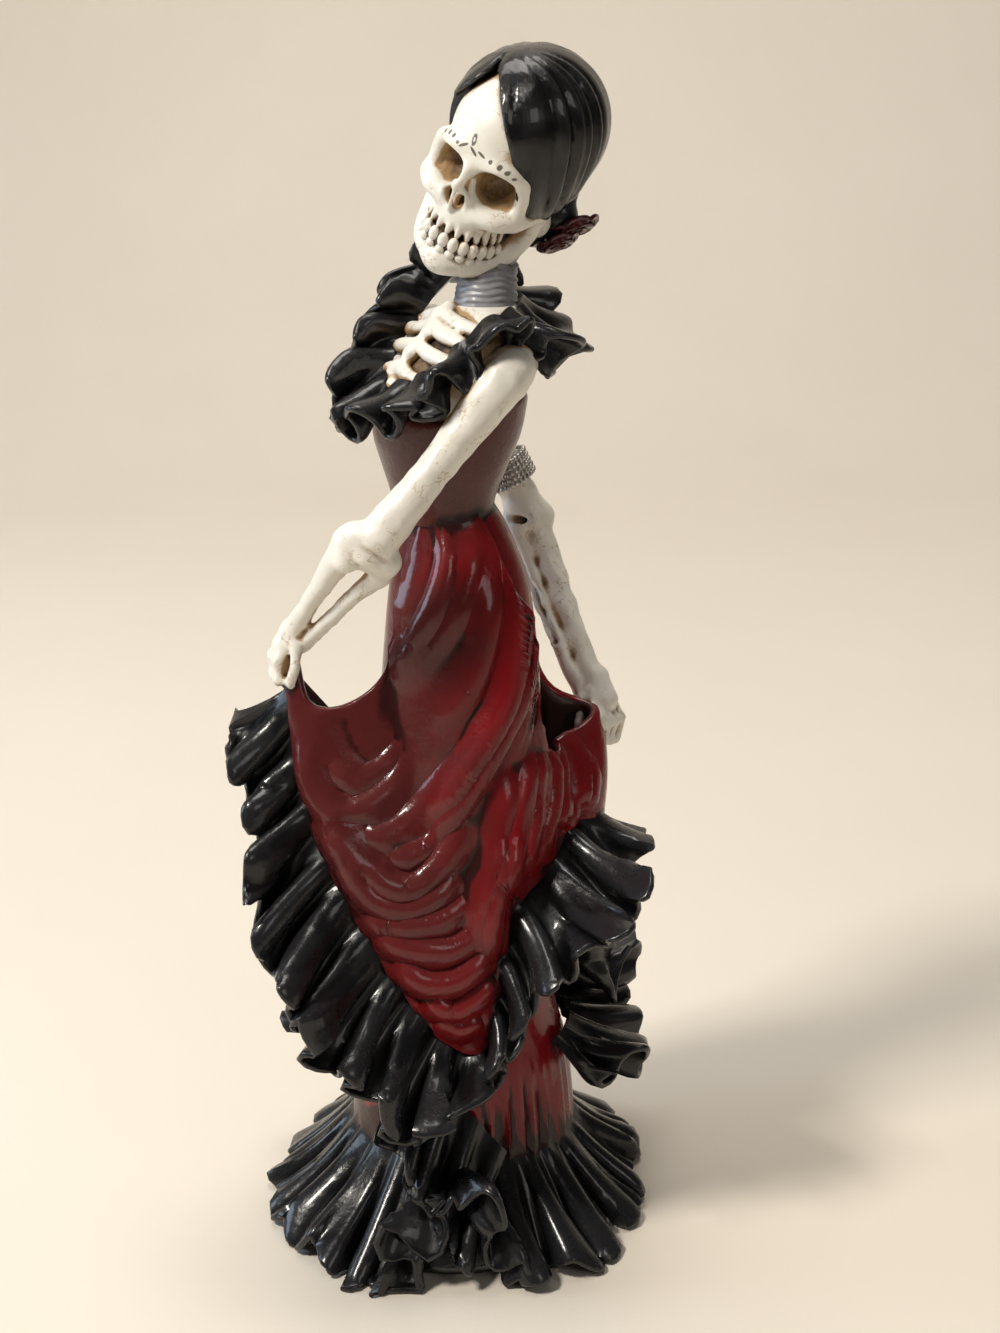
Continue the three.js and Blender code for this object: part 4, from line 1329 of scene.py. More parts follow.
@dataclass
class Head:
    """The skull, the combed hair and the roses behind.

    In the head's own frame she faces -Y with +Z up and the point between the ears is the origin.

    Attributes:
        at: Where that point stands in the figure.
        scale: The figure's size of a head that is 58 mm high in its own frame.
        turn: Its turn about Z, in degrees.
        nod: Its turn about X.
        lean: Its turn about Y.
        cell: Size of the cells that it is modelled in.
        crown: The hair's middle.
        cap: The hair's radii.
    """

    at: Spot = (13.4, 0, 273.8)
    scale: float = 0.88
    turn: float = -30
    nod: float = 11
    lean: float = 29.5
    cell: float = 0.62
    crown: Spot = (0.2, 6, 8.4)
    cap: Spot = (20, 25, 20.6)

    def matrix(self) -> Matrix:
        """From the head's own frame to the figure's.

        Returns:
            The matrix.
        """
        spin = Matrix.Rotation(math.radians(self.turn), 4, "Z")
        spin = spin @ Matrix.Rotation(math.radians(self.nod), 4, "X")
        spin = spin @ Matrix.Rotation(math.radians(self.lean), 4, "Y")
        return Matrix.Translation(self.at) @ Matrix.Scale(self.scale, 4) @ spin

    def skull(self) -> Shape:
        """The skull, without its teeth.

        Returns:
            The closed shape.
        """
        clay = Clay((-21, -27, -33), (22, 28, 30), self.cell)
        clay.add(Egg((0, 3, 7), (16.6, 22, 18.6)))
        clay.add(Egg((0, -4, 8.6), (14, 14.9, 12.8)), 3)
        clay.add(Egg((0, -8, -6), (12, 11.5, 11)), 3)
        clay.add(Egg((0, -10.5, -13), (9.2, 9.8, 6.5)), 2.5)
        clay.add(Egg((0, -7.5, -19), (8.8, 9.8, 6.5)), 2)
        for s in (-1, 1):
            brow = [[s * 2.5, -18.6, 3.6, 1.5], [s * 7.5, -18.6, 5.2, 1.6]]
            brow += [[s * 12.2, -14.8, 3.6, 1.7], [s * 13.6, -12, -1, 1.8]]
            clay.add(Limb(brow, 4), 3.2)
            cheek = [
                [s * 5.5, -17.4, -9.6, 2.4], [s * 10, -16.4, -9, 2.9], [s * 13.4, -12.6, -8.2, 2.9],
                [s * 15.2, -6, -8, 2.0], [s * 16, 1, -8.8, 1.8],
            ]
            clay.add(Limb(cheek, 4), 2.4)
            socket = [[s * 13.4, -12.8, -7.8, 2.2], [s * 13.8, -12.6, -2.5, 1.7], [s * 13, -13.4, 3, 1.7]]
            clay.add(Limb(socket, 3), 1.8)
            jaw = [[s * 14.6, 0.5, -8, 2.3], [s * 14, -1, -14.5, 2.9], [s * 12, -6, -20.8, 3.3]]
            jaw += [[s * 7.6, -14, -24.8, 3.5], [0, -18, -26, 3.6]]
            clay.add(Limb(jaw, 4), 1.6)
            clay.add(Egg((s * 14.6, 4, -13), (2.8, 3.6, 4.0), (20, 0, 0)), 1.2)
        clay.add(Egg((0.2, -18.4, -26), (5.6, 3.8, 3.5)), 1.8)
        clay.add(Limb([[-0.4, -18.6, 3, 2.3], [-1, -21, -1, 1.6], [-1.5, -22, -3.4, 1.2]], 3), 1.4)
        rim = [[3.6, -18.4, -10.8, 1.0], [3.9, -19, -8, 1.1], [2.6, -20.6, -4.8, 1.1], [0, -21.8, -2.7, 1.2]]
        for s in (-1, 1):
            clay.add(Limb([[s * x - 1.6, y, z, r] for x, y, z, r in rim], 4), 0.8)
            clay.cut(Egg((s * 7, -19.5, -1.2), (5.7, 9.5, 5.2), (0, s * 8, 0)), 0.9)
            clay.cut(Egg((s * 1.8 - 1.6, -22, -7.6), (1.35, 5.4, 2.9), (0, s * 17, 0)), 0.5)
            clay.cut(Egg((s * 13, -10.5, -13.8), (3.2, 6.5, 3.9)), 1.1)
            clay.cut(Egg((s * 17.8, -7.5, -2.6), (2.8, 4.6, 3.8)), 1.2)
            crease = [[s * 12.5, -15.5, -12.4, 0.35], [s * 11.6, -13.6, -17, 0.5], [s * 9.8, -12, -20, 0.3]]
            clay.cut(Limb(crease, 3), 0.3)
        clay.add(Limb([[-1.6, -20.2, -10.8, 0.9], [-1.6, -21.2, -7.6, 0.5], [-1.4, -21.6, -4.6, 0.6]]), 0.4)
        for angle in TOOTH_ANGLES:
            a = math.radians(angle - 90)
            x, y = 10.3 * math.cos(a), -8.4 + 11.2 * math.sin(a)
            clay.add(Limb([[x * 0.95, y + 1.0, -11.5, 0.4], [x, y, -15.5, 0.9], [x, y, -17, 0.9]]), 0.8)
        mouth = np.radians(np.arange(-174, 6, 9))
        gum = [[10.4 * math.cos(a), -8.5 + 11.2 * math.sin(a), -20.3, 1.5] for a in mouth]
        clay.cut(Limb(gum), 0.3)
        return clay.surface(Paint.BONE).moved(self.matrix())

    def hair(self) -> Shape:
        """The hair: locks drawn from the parting round the head to the nape.

        Returns:
            The closed shape.
        """
        clay = Clay((-23, -23, -16), (25, 35, 33), self.cell)
        _, points = clay.points()
        grain = self.strands(points)
        shell = Egg(self.crown, self.cap).distance(points)
        shell = smooth_min(shell, Egg((10.4, 1, 0.5), (8.9, 15.6, 12.6)).distance(points), 3.5)
        turned = np.arctan2(grain[..., 1], grain[..., 0]) / TURN
        share = turned * 17 + 0.3 * np.sin(turned * 40)
        groove = 1 - np.abs(np.sin(math.pi * share)) ** 0.6
        minor = 1 - np.abs(np.sin(math.pi * 2 * share + 1)) ** 0.6
        x, y, z = np.moveaxis(points, -1, 0)
        left = Curve([
            [-30, 18], [-11, 16], [-9, 13.2], [-1.6, 12.3], [4.7, 10.2], [9.6, 7.5], [13, 5.1],
            [16.2, 2.4], [20.5, -2.4], [22.7, -5.3], [23.9, -8.6], [28, -12],
        ])(z)[..., 0]
        right = Curve([
            [-30, 19], [3, 19], [9.1, 18.2], [15.5, 13.6], [19.7, 11.1], [22.8, 9.8], [28, 10.5],
        ])(z)[..., 0]
        opening = np.maximum(np.maximum(x - left, -right - x), y + 3) * 0.85
        depth = np.clip(np.sin(grain[..., 2] * math.pi), 0, 1) ** 1.3 * np.clip(opening / 5, 0.2, 1)
        shell = shell + (2.0 * groove + 0.5 * minor) * depth - 1.0
        clay.values = -smooth_min(-shell, opening, 1.6)
        shape = clay.surface(Paint.HAIR)
        shape.grain = self.strands(shape.points)
        return shape.moved(self.matrix())

    def strands(self, points: Array) -> Array:
        """Where points lie round the head, as a cosine and a sine, and how near they are to the nape.

        Args:
            points: Places in the head's frame.

        Returns:
            The three numbers of each.
        """
        pole = unit(np.array([-8.0, -5, 17]))
        side = unit(np.cross(pole, [0, 1.0, 0]))
        other = np.cross(pole, side)
        way = unit((points - np.array(self.crown)) / np.array(self.cap))
        polar = np.arccos(np.clip(way @ pole, -1, 1)) / math.pi
        turned = np.arctan2(way @ other, way @ side) + 0.9 * polar**2
        return np.stack([np.cos(turned), np.sin(turned), polar], -1)

    def knot(self) -> Shape:
        """The knot of hair at the nape that carries the roses.

        Returns:
            The closed shape.
        """
        clay = Clay((-4, 1, -24), (26, 28, 4), self.cell)
        clay.add(Egg((8.5, 15, -6.5), (9, 7, 7)))
        clay.add(Egg((15, 12, -13), (6.5, 6, 7)), 2)
        shape = clay.surface(Paint.HAIR)
        shape.grain = self.strands(shape.points)
        return shape.moved(self.matrix())

    def shapes(self) -> Iterable[Shape]:
        """All the head's shapes.

        Returns:
            The shapes, one after another.
        """
        yield self.skull()
        yield self.hair()
        yield self.knot()
        yield from Teeth().shapes(self.matrix())
        yield from Roses().shapes(self.matrix())


# Geometry Nodes


class Graph:
    """A node tree that is written from left to right."""

    def __init__(self, tree: bpy.types.NodeTree) -> None:
        """Keeps the tree and empties it."""
        self.tree = tree
        tree.nodes.clear()

    def node(
        self, kind: str, settings: Optional[dict] = None, sockets: Optional[dict] = None
    ) -> bpy.types.Node:
        """Adds a node.

        Args:
            kind: The node's type.
            settings: Values of the node itself, set first.
            sockets: Values or links of its inputs, by name or place.

        Returns:
            The node.
        """
        made = self.tree.nodes.new(kind)
        for key, value in (settings or {}).items():
            setattr(made, key, value)
        for key, value in (sockets or {}).items():
            value = getattr(value, "socket", value)
            if isinstance(value, Socket):
                self.tree.links.new(value, made.inputs[key])
            else:
                made.inputs[key].default_value = value
        return made


class Repeater(Graph):
    """A Geometry Nodes tree with named inputs that ends in Realize Instances and Set Material."""

    def __init__(self, name: str, inputs: dict[str, float]) -> None:
        """Makes the tree, its group input and its named sizes.

        Args:
            name: The tree's name.
            inputs: Each size's name and value.
        """
        tree = bpy.data.node_groups.new(name, "GeometryNodeTree")
        super().__init__(tree)
        self.inputs = inputs
        tree.interface.new_socket("Geometry", in_out="INPUT", socket_type="NodeSocketGeometry")
        tree.interface.new_socket("Geometry", in_out="OUTPUT", socket_type="NodeSocketGeometry")
        self.sockets = {}
        for label, value in inputs.items():
            kind = "NodeSocketInt" if isinstance(value, int) else "NodeSocketFloat"
            self.sockets[label] = tree.interface.new_socket(label, in_out="INPUT", socket_type=kind)
        self.start = self.node("NodeGroupInput")

    def size(self, label: str) -> Socket:
        """The socket of a named input."""
        return self.start.outputs[label]

    def attribute(self, label: str) -> Socket:
        """The socket of a number kept at each point of the source."""
        read = self.node("GeometryNodeInputNamedAttribute", {"data_type": "FLOAT"}, {"Name": label})
        return read.outputs[0]

    def scatter(self, form: Socket, turn: bpy.types.Node, scale: bpy.types.Node) -> None:
        """Puts a form at each point of the source and ends the tree.

        Args:
            form: The form's geometry.
            turn: The node of its turn.
            scale: The node of its scale.
        """
        points = self.node("GeometryNodeMeshToPoints", {}, {0: self.start.outputs[0]})
        sockets = {"Points": points.outputs[0], "Instance": form, "Rotation": turn.outputs[0]}
        placed = self.node("GeometryNodeInstanceOnPoints", {}, {**sockets, "Scale": scale.outputs[0]})
        self.finish(placed.outputs[0], None)

    def finish(self, geometry: Socket, material: Optional[Material]) -> None:
        """Ends the tree.

        Args:
            geometry: What the tree has made.
            material: The socket of its material, if it has one.
        """
        real = self.node("GeometryNodeRealizeInstances", {}, {"Geometry": geometry})
        sockets = {"Geometry": real.outputs[0], "Material": material}
        dressed = self.node("GeometryNodeSetMaterial", {}, sockets)
        self.node("NodeGroupOutput", {}, {0: dressed.outputs[0]})

    def run(self, source: Mesh) -> Mesh:
        """The tree's result on a mesh, as a plain mesh.

        Args:
            source: The mesh that the tree starts from.

        Returns:
            The plain mesh.
        """
        obj = new_object("source", source)
        modifier = obj.modifiers.new("repeat", "NODES")
        modifier.node_group = self.tree
        for label, value in self.inputs.items():
            modifier[self.sockets[label].identifier] = value
        made = applied(obj)
        bpy.data.objects.remove(obj)
        return made


def shape_of(mesh: Mesh, paint: Paint) -> Shape:
    """A mesh in metres as a shape in millimetres.

    Args:
        mesh: The mesh.
        paint: The finish.

    Returns:
        The shape.
    """
    mesh.calc_loop_triangles()
    faces = read(mesh.loop_triangles, "vertices", kind=int)
    return Shape(read(mesh.vertices, "co") / MM, np.column_stack([faces, faces[:, 2]]), paint)


@dataclass
class Teeth:
    """Two rows of teeth round the mouth, in the head's frame.

    Attributes:
        wide: Half the width of their arc.
        deep: Its depth.
        back: The y of its middle.
    """

    wide: float = 10.9
    deep: float = 11.7
    back: float = -8.6

    def row(self, z: float, high: float, broad: float) -> Shape:
        """One row of teeth.

        Args:
            z: Height of their middles.
            high: Half the height of a tooth.
            broad: Half its width.

        Returns:
            The teeth as one shape.
        """
        source = bpy.data.meshes.new("arc")
        angles = [math.radians(a - 90) for a in TOOTH_ANGLES]
        spots = [(self.wide * math.cos(a), self.back + self.deep * math.sin(a), z) for a in angles]
        source.from_pydata(np.array(spots) * MM, [], [])
        turns = source.attributes.new("turn", "FLOAT", "POINT")
        turns.data.foreach_set("value", [a + math.pi / 2 for a in angles])
        tree = Repeater("tooth_row", {"Broad": broad * MM, "High": high * MM, "Deep": 1.35 * MM})
        tooth = tree.node("GeometryNodeMeshUVSphere", {}, {"Segments": 14, "Rings": 9, "Radius": 1.0})
        half = {axis: tree.size(label) for axis, label in enumerate(("Broad", "Deep", "High"))}
        scale = tree.node("ShaderNodeCombineXYZ", {}, half)
        spin = tree.node("ShaderNodeCombineXYZ", {}, {2: tree.attribute("turn")})
        tree.scatter(tooth.outputs[0], spin, scale)
        return shape_of(tree.run(source), Paint.TOOTH)

    def gum(self) -> Shape:
        """The dark band that shows between the teeth.

        Returns:
            The closed shape.
        """
        angles = np.radians(np.linspace(-178, -2, 45))
        profile = [(math.cos(a), math.sin(a)) for a in np.linspace(0, TURN, 12, endpoint=False)]
        rings = []
        for a in angles:
            ring = []
            for p, q in profile:
                wide, deep = self.wide - 0.6 + 0.9 * p, self.deep - 0.6 + 0.9 * p
                ring.append([wide * math.cos(a), self.back + deep * math.sin(a), -20.9 + 2.9 * q])
            rings.append(ring)
        return tube(np.array(rings), Paint.DARK)

    def shapes(self, matrix: Matrix) -> Iterable[Shape]:
        """The upper and the lower row.

        Args:
            matrix: From the head's frame to the figure's.

        Returns:
            The shapes, one after another.
        """
        yield self.row(-19.6, 2.2, 1.56).moved(matrix)
        yield self.row(-22.5, 1.3, 1.45).moved(matrix)
        yield self.gum().moved(matrix)


@dataclass
class Roses:
    """Four roses at the nape, of petals in rings.

    Attributes:
        places: The middle and the radius of each, in the head's frame.
    """

    places: tuple[tuple[float, float, float, float], ...] = (
        (20.5, 13, -12, 6.4), (18.6, 10.5, -17.6, 5.6), (9, 20, -13, 6.4), (14, 11.5, -19.5, 4.6)
    )

    def petal(self) -> Mesh:
        """A cupped petal about one unit wide, as a closed mesh in metres.

        Returns:
            The mesh.
        """
        u = np.linspace(-1, 1, 9)[:, None]
        v = np.linspace(0, 1, 7)[None, :]
        x = 0.82 * u * np.sin(math.pi * (0.18 + 0.68 * v)) ** 0.6
        y = 0.2 + 0.6 * v**1.6 - 0.45 * x**2
        z = 0.95 * v - 0.2 * v**3 + 0 * u
        grid = np.stack([x, -y, z], -1)
        return sheet(grid, np.full(7, 0.17), Paint.ROSE, loop=False).mesh("petal")

    def rose(self, x: float, y: float, z: float, radius: float) -> Shape:
        """One rose.

        Args:
            x: Its middle's x.
            y: Its middle's y.
            z: Its middle's z.
            radius: Its radius.

        Returns:
            Its shape.
        """
        rings = [(5, 0.95, 0.5, 0.0), (5, 0.76, 0.85, 0.6), (4, 0.52, 1.2, 0.2), (3, 0.32, 1.5, 0.5)]
        spots, turns, sizes, tilts = [], [], [], []
        for count, size, tilt, offset in rings:
            for i in range(count):
                spots.append((0, 0, 0))
                turns.append((i / count + offset / count) * TURN)
                sizes.append(size)
                tilts.append(1.2 - tilt)
        source = bpy.data.meshes.new("rose")
        source.from_pydata(spots, [], [])
        for label, values in (("turn", turns), ("size", sizes), ("tilt", tilts)):
            source.attributes.new(label, "FLOAT", "POINT").data.foreach_set("value", values)
        holder = new_object("petal", self.petal())
        tree = Repeater("rose", {"Radius": radius})
        info = tree.node("GeometryNodeObjectInfo", {}, {"Object": holder})
        turn, size, tilt = (tree.attribute(label) for label in ("turn", "size", "tilt"))
        spin = tree.node("ShaderNodeCombineXYZ", {}, {0: tilt, 2: turn})
        grow = tree.node("ShaderNodeMath", {"operation": "MULTIPLY"}, {0: size, 1: tree.size("Radius")})
        tree.scatter(info.outputs["Geometry"], spin, grow)
        made = shape_of(tree.run(source), Paint.ROSE)
        bpy.data.objects.remove(holder)
        aim = Vector((0.75, -0.25, -0.5)).to_track_quat("Z", "Y").to_matrix().to_4x4()
        return made.moved(Matrix.Translation((x, y, z)) @ aim)

    def shapes(self, matrix: Matrix) -> Iterable[Shape]:
        """All the roses."""
        for place in self.places:
            yield self.rose(*place).moved(matrix)


# The casting


@dataclass
class Casting:
    """The whole painted casting, joined to one closed mesh.

    Attributes:
        name: The piece's name.
        crease: The angle above which an edge stays sharp, in degrees.
        limit: The most triangles that it may have.
        cell: Size of the cells that its open and closed places are told apart with.
        inward: How far a face of the cloth looks at the axis to count as its inner side.
        rounds: How often the surface is relaxed to find its fine and its broad hollows.
        views: How many directions are looked in from each point.
        reaches: How far along each the casting is looked for.
        fade: The distance at which what is met no longer counts.
    """

    name: str = "painted_casting"
    crease: float = 52.0
    limit: int = 194000
    cell: float = 0.75
    inward: float = 0.35
    rounds: tuple[int, int] = (6, 60)
    views: int = 40
    reaches: tuple[float, ...] = (0.8, 1.6, 2.6, 4.0, 6.0, 9.0)
    fade: float = 14.0

    def build(self, shapes: list[Shape], materials: list[Material]) -> Object:
        """Joins the shapes.

        Args:
            shapes: Closed shapes that overlap where they meet.
            materials: One for each paint.

        Returns:
            The finished object.
        """
        parts = []
        for number, shape in enumerate(shapes):
            mesh = shape.mesh(f"part_{number}")
            for material in materials:
                mesh.materials.append(material)
            parts.append(new_object(f"part_{number}", mesh))
        body, others = parts[0], parts[1:]
        for other in others:
            join = body.modifiers.new("join", "BOOLEAN")
            join.operation, join.solver, join.object = "UNION", "MANIFOLD", other
        mesh = applied(body)
        for part in parts:
            bpy.data.objects.remove(part)
        self.keep_outer(mesh)
        mesh = self.thin(mesh)
        mesh.name = self.name
        self.line(mesh)
        self.measure(mesh)
        mesh.polygons.foreach_set("use_smooth", np.ones(len(mesh.polygons), bool))
        mesh.set_sharp_from_angle(angle=math.radians(self.crease))
        return new_object(self.name, mesh)

    def keep_outer(self, mesh: Mesh) -> None:
        """Drops closed hollows inside the casting.

        Args:
            mesh: The mesh, changed in place.
        """
        count = len(mesh.vertices)
        edges = read(mesh.edges, "vertices", 2, int)
        label = np.arange(count)
        while True:
            low = np.minimum(label[edges[:, 0]], label[edges[:, 1]])
            new = label.copy()
            np.minimum.at(new, edges[:, 0], low)
            np.minimum.at(new, edges[:, 1], low)
            new = new[new]
            if (new == label).all():
                break
            label = new
        names, sizes = np.unique(label, return_counts=True)
        log.info("casting has %d shells of sizes %s", len(names), sorted(sizes.tolist())[-8:])
        drop = label != names[sizes.argmax()]
        if drop.any():
            work = bmesh.new()
            work.from_mesh(mesh)
            work.verts.ensure_lookup_table()
            bmesh.ops.delete(work, geom=[work.verts[i] for i in np.flatnonzero(drop)], context="VERTS")
            work.to_mesh(mesh)
            work.free()

    def thin(self, mesh: Mesh) -> Mesh:
        """The mesh with its flattest faces joined until it keeps to the limit.

        Args:
            mesh: The mesh.

        Returns:
            The thinned mesh.
        """
        mesh.calc_loop_triangles()
        count = len(mesh.loop_triangles)
        log.info("casting before thinning: %d triangles", count)
        obj = new_object("thick", mesh)
        fewer = obj.modifiers.new("fewer", "DECIMATE")
        fewer.decimate_type, fewer.ratio = "COLLAPSE", min(1.0, self.limit / count)
        made = applied(obj)
        bpy.data.objects.remove(obj)
        return made

    def line(self, mesh: Mesh) -> None:
        """Gives the cloth's inner side, seen over its edges, the paint of its lining.

        Args:
            mesh: The mesh, changed in place.
        """
        middles, normals = read(mesh.polygons, "center") / MM, read(mesh.polygons, "normal")
        paint = read(mesh.polygons, "material_index", 1, int).ravel()
        middles[:, 2] = 0
        inward = np.einsum("ij,ij->i", unit(middles), normals) < -self.inward
        paint[inward & (paint == Paint.CLOTH.value)] = Paint.LINING.value
        mesh.polygons.foreach_set("material_index", paint)

    def measure(self, mesh: Mesh) -> None:
        """Writes how hollow the surface is at each point, at two scales, and how closed in it is.

        Args:
            mesh: The mesh, given the three attributes.
        """
        count = len(mesh.vertices)
        points, normals = read(mesh.vertices, "co") / MM, read(mesh.vertices, "normal")
        a, b = read(mesh.edges, "vertices", 2, int).T
        weight = 1 / np.maximum(np.linalg.norm(points[a] - points[b], axis=1), 0.1)
        total = np.bincount(a, weight, count) + np.bincount(b, weight, count)

        def relax(values: Array) -> Array:
            """Values drawn half way to those of the points around.

            Args:
                values: A row for each point.

            Returns:
                The new rows.
            """
            columns = [
                (np.bincount(a, weight * v[b], count) + np.bincount(b, weight * v[a], count)) / total
                for v in values.T
            ]
            return 0.5 * values + 0.5 * np.stack(columns, -1)

        found = {"shade": relax(self.closed(mesh, points, normals)[:, None])[:, 0]}
        smooth = points
        fine, broad = self.rounds
        for step in range(1, broad + 1):
            smooth = relax(smooth)
            if step in self.rounds:
                hollow = np.einsum("ij,ij->i", smooth - points, normals)
                found["hollow" if step == fine else "deep"] = relax(hollow[:, None])[:, 0]
        for label, values in found.items():
            layer = mesh.attributes.new(label, "FLOAT", "POINT")
            layer.data.foreach_set("value", values.astype(np.float32))
            log.info("%s: %s", label, np.percentile(values, [2, 10, 25, 50, 75, 90, 98]).round(3).tolist())

    def closed(self, mesh: Mesh, points: Array, normals: Array) -> Array:
        """How much of the view from each point the casting itself closes off nearby, from 0 to 1.

        Args:
            mesh: The mesh.
            points: Its points, in millimetres.
            normals: The way that each faces.

        Returns:
            A share for each point.
        """
        filled, low = self.fill(mesh, points)
        golden = math.pi * (3 - math.sqrt(5))
        start = points + 0.8 * normals
        seen, total = np.zeros(len(points)), np.zeros(len(points))
        for k in range(self.views):
            z = 1 - 2 * (k + 0.5) / self.views
            r = math.sqrt(1 - z * z)
            way = np.array([r * math.cos(golden * k), r * math.sin(golden * k), z])
            facing = np.maximum(normals @ way, 0)
            clear = np.ones(len(points))
            for reach in self.reaches:
                i = np.floor((start + way * reach - low) / self.cell).astype(int)
                i = np.clip(i, 0, np.array(filled.shape) - 1)
                clear *= 1 - filled[i[:, 0], i[:, 1], i[:, 2]] * (1 - reach / self.fade)
            seen += facing * clear
            total += facing
        return 1 - seen / np.maximum(total, 1e-6)

    def fill(self, mesh: Mesh, points: Array) -> tuple[Array, Array]:
        """How full each cell of a block round the mesh is, and the block's lowest corner in millimetres.

        Args:
            mesh: The mesh.
            points: Its points, in millimetres.

        Returns:
            The shares and the corner.
        """
        tree = BVHTree.FromPolygons(points.tolist(), [tuple(p.vertices) for p in mesh.polygons])
        low, high = points.min(0) - 12, points.max(0) + 12
        count = np.ceil((high - low) / self.cell).astype(int)
        filled = np.zeros(count, np.float32)
        edges = low[2] + self.cell * np.arange(count[2] + 1)
        down = Vector((0, 0, -1))
        for i in range(count[0]):
            for j in range(count[1]):
                x, y, z = low[0] + (i + 0.5) * self.cell, low[1] + (j + 0.5) * self.cell, high[2]
                top = None
                while True:
                    spot, normal, _, _ = tree.ray_cast(Vector((x, y, z)), down)
                    if spot is None:
                        break
                    z = spot.z - 1e-3
                    if normal.z > 0:
                        top = spot.z if top is None else top
                    elif top is not None:
                        inside = np.minimum(edges[1:], top) - np.maximum(edges[:-1], spot.z)
                        filled[i, j] += np.clip(inside, 0, self.cell) / self.cell
                        top = None
        return filled, low


# Finishes


class Term:
    """A shader value that Python expressions work on; each operation adds a Math node."""

    def __init__(self, graph: Graph, socket: Socket) -> None:
        """Wraps a socket of a graph."""
        self.graph, self.socket = graph, socket

    def math(self, operation: str, *others: Union["Term", float], flip: bool = False) -> "Term":
        """A Math node on this value and others.

        Args:
            operation: What it does.
            *others: The other values.
            flip: Whether they come in the other order.

        Returns:
            Its result.
        """
        inputs = [self, *others]
        if flip:
            inputs = inputs[::-1]
        made = self.graph.node("ShaderNodeMath", {"operation": operation}, dict(enumerate(inputs)))
        return Term(self.graph, made.outputs[0])

    def __add__(self, other: Union["Term", float]) -> "Term":
        """The sum."""
        return self.math("ADD", other)

    def __sub__(self, other: Union["Term", float]) -> "Term":
        """The difference."""
        return self.math("SUBTRACT", other)

    def __rsub__(self, other: float) -> "Term":
        """The difference the other way."""
        return self.math("SUBTRACT", other, flip=True)

    def __mul__(self, other: Union["Term", float]) -> "Term":
        """The product."""
        return self.math("MULTIPLY", other)

    def __truediv__(self, other: Union["Term", float]) -> "Term":
        """The quotient."""
        return self.math("DIVIDE", other)

    def __pow__(self, other: float) -> "Term":
        """The power."""
        return self.math("POWER", other)

    __radd__ = __add__
    __rmul__ = __mul__

    def step(self, start: float, end: float) -> "Term":
        """0 before the start, 1 after the end, and a smooth rise between them.

        Args:
            start: Where the rise begins.
            end: Where it ends.

        Returns:
            The step.
        """
        sockets = {"Value": self, "From Min": start, "From Max": end}
        made = self.graph.node("ShaderNodeMapRange", {"interpolation_type": "SMOOTHSTEP"}, sockets)
        return Term(self.graph, made.outputs[0])


Tint = Union[Colour, Socket]


class Surface(Graph):
    """The node tree of one material, with the parts that all finishes share."""

    def __init__(self, name: str) -> None:
        """Makes the material and its Principled shader.

        Args:
            name: The material's name.
        """
        self.material = bpy.data.materials.new(name)
        self.material.use_nodes = True
        super().__init__(self.material.node_tree)
        self.place = self.node("ShaderNodeTexCoord").outputs["Object"]

    def attribute(self, name: str) -> Term:
        """A number kept at each point of the mesh."""
        return Term(self, self.node("ShaderNodeAttribute", {"attribute_name": name}).outputs["Fac"])

    def noise(self, size: float, detail: float = 4.0, rough: float = 0.55) -> Term:
        """Noise from 0 to 1 whose spots are about the size given, in millimetres.

        Args:
            size: The spots' size.
            detail: How many finer layers it has.
            rough: How strong they are.

        Returns:
            The noise.
        """
        sockets = {"Vector": self.place, "Scale": (1 / (size * MM),) * 3}
        mapped = self.node("ShaderNodeMapping", {}, sockets)
        spots = {"Vector": mapped.outputs[0], "Scale": 1.0, "Detail": detail, "Roughness": rough}
        return Term(self, self.node("ShaderNodeTexNoise", {}, spots).outputs["Fac"])

    def mix(self, share: Union[Term, float], first: Tint, second: Tint) -> Socket:
        """Colours mixed by a share.

        Args:
            share: How much of the second there is.
            first: A colour or its socket.
            second: The other.

        Returns:
            The mixed colour's socket.
        """
        settings = {"data_type": "RGBA", "blend_type": "MIX", "clamp_factor": True}
        made = self.node("ShaderNodeMix", settings, {0: share, 6: opaque(first), 7: opaque(second)})
        return made.outputs[2]

    def bump(self, height: Term, depth: float, normal: Optional[Socket] = None) -> Socket:
        """A Bump node of a depth in millimetres.

        Args:
            height: The height, from 0 to 1.
            depth: The depth.
            normal: The normal to start from.

        Returns:
            The new normal's socket.
        """
        sockets = {"Height": height, "Distance": depth * MM, "Strength": 1.0}
        if normal is not None:
            sockets["Normal"] = normal
        return self.node("ShaderNodeBump", {}, sockets).outputs[0]

    def shade(
        self, colour: Tint, roughness: Union[Term, float], normal: Socket, **constants: float
    ) -> Material:
        """Ends the tree in its shader.

        Args:
            colour: A colour or its socket.
            roughness: A number or its term.
            normal: The socket of the last Bump node.
            **constants: Other sockets of the shader, with _ for spaces.

        Returns:
            The material.
        """
        sockets = {"Base Color": opaque(colour), "Roughness": roughness, "Normal": normal}
        sockets.update({key.replace("_", " "): value for key, value in constants.items()})
        shader = self.node("ShaderNodeBsdfPrincipled", {}, sockets)
        self.node("ShaderNodeOutputMaterial", {}, {"Surface": shader.outputs[0]})
        return self.material


def opaque(colour: Tint) -> Union[tuple, Socket]:
    """A colour of three numbers with its alpha; a socket stays as it is."""
    return (*colour, 1.0) if isinstance(colour, tuple) and len(colour) == 3 else colour


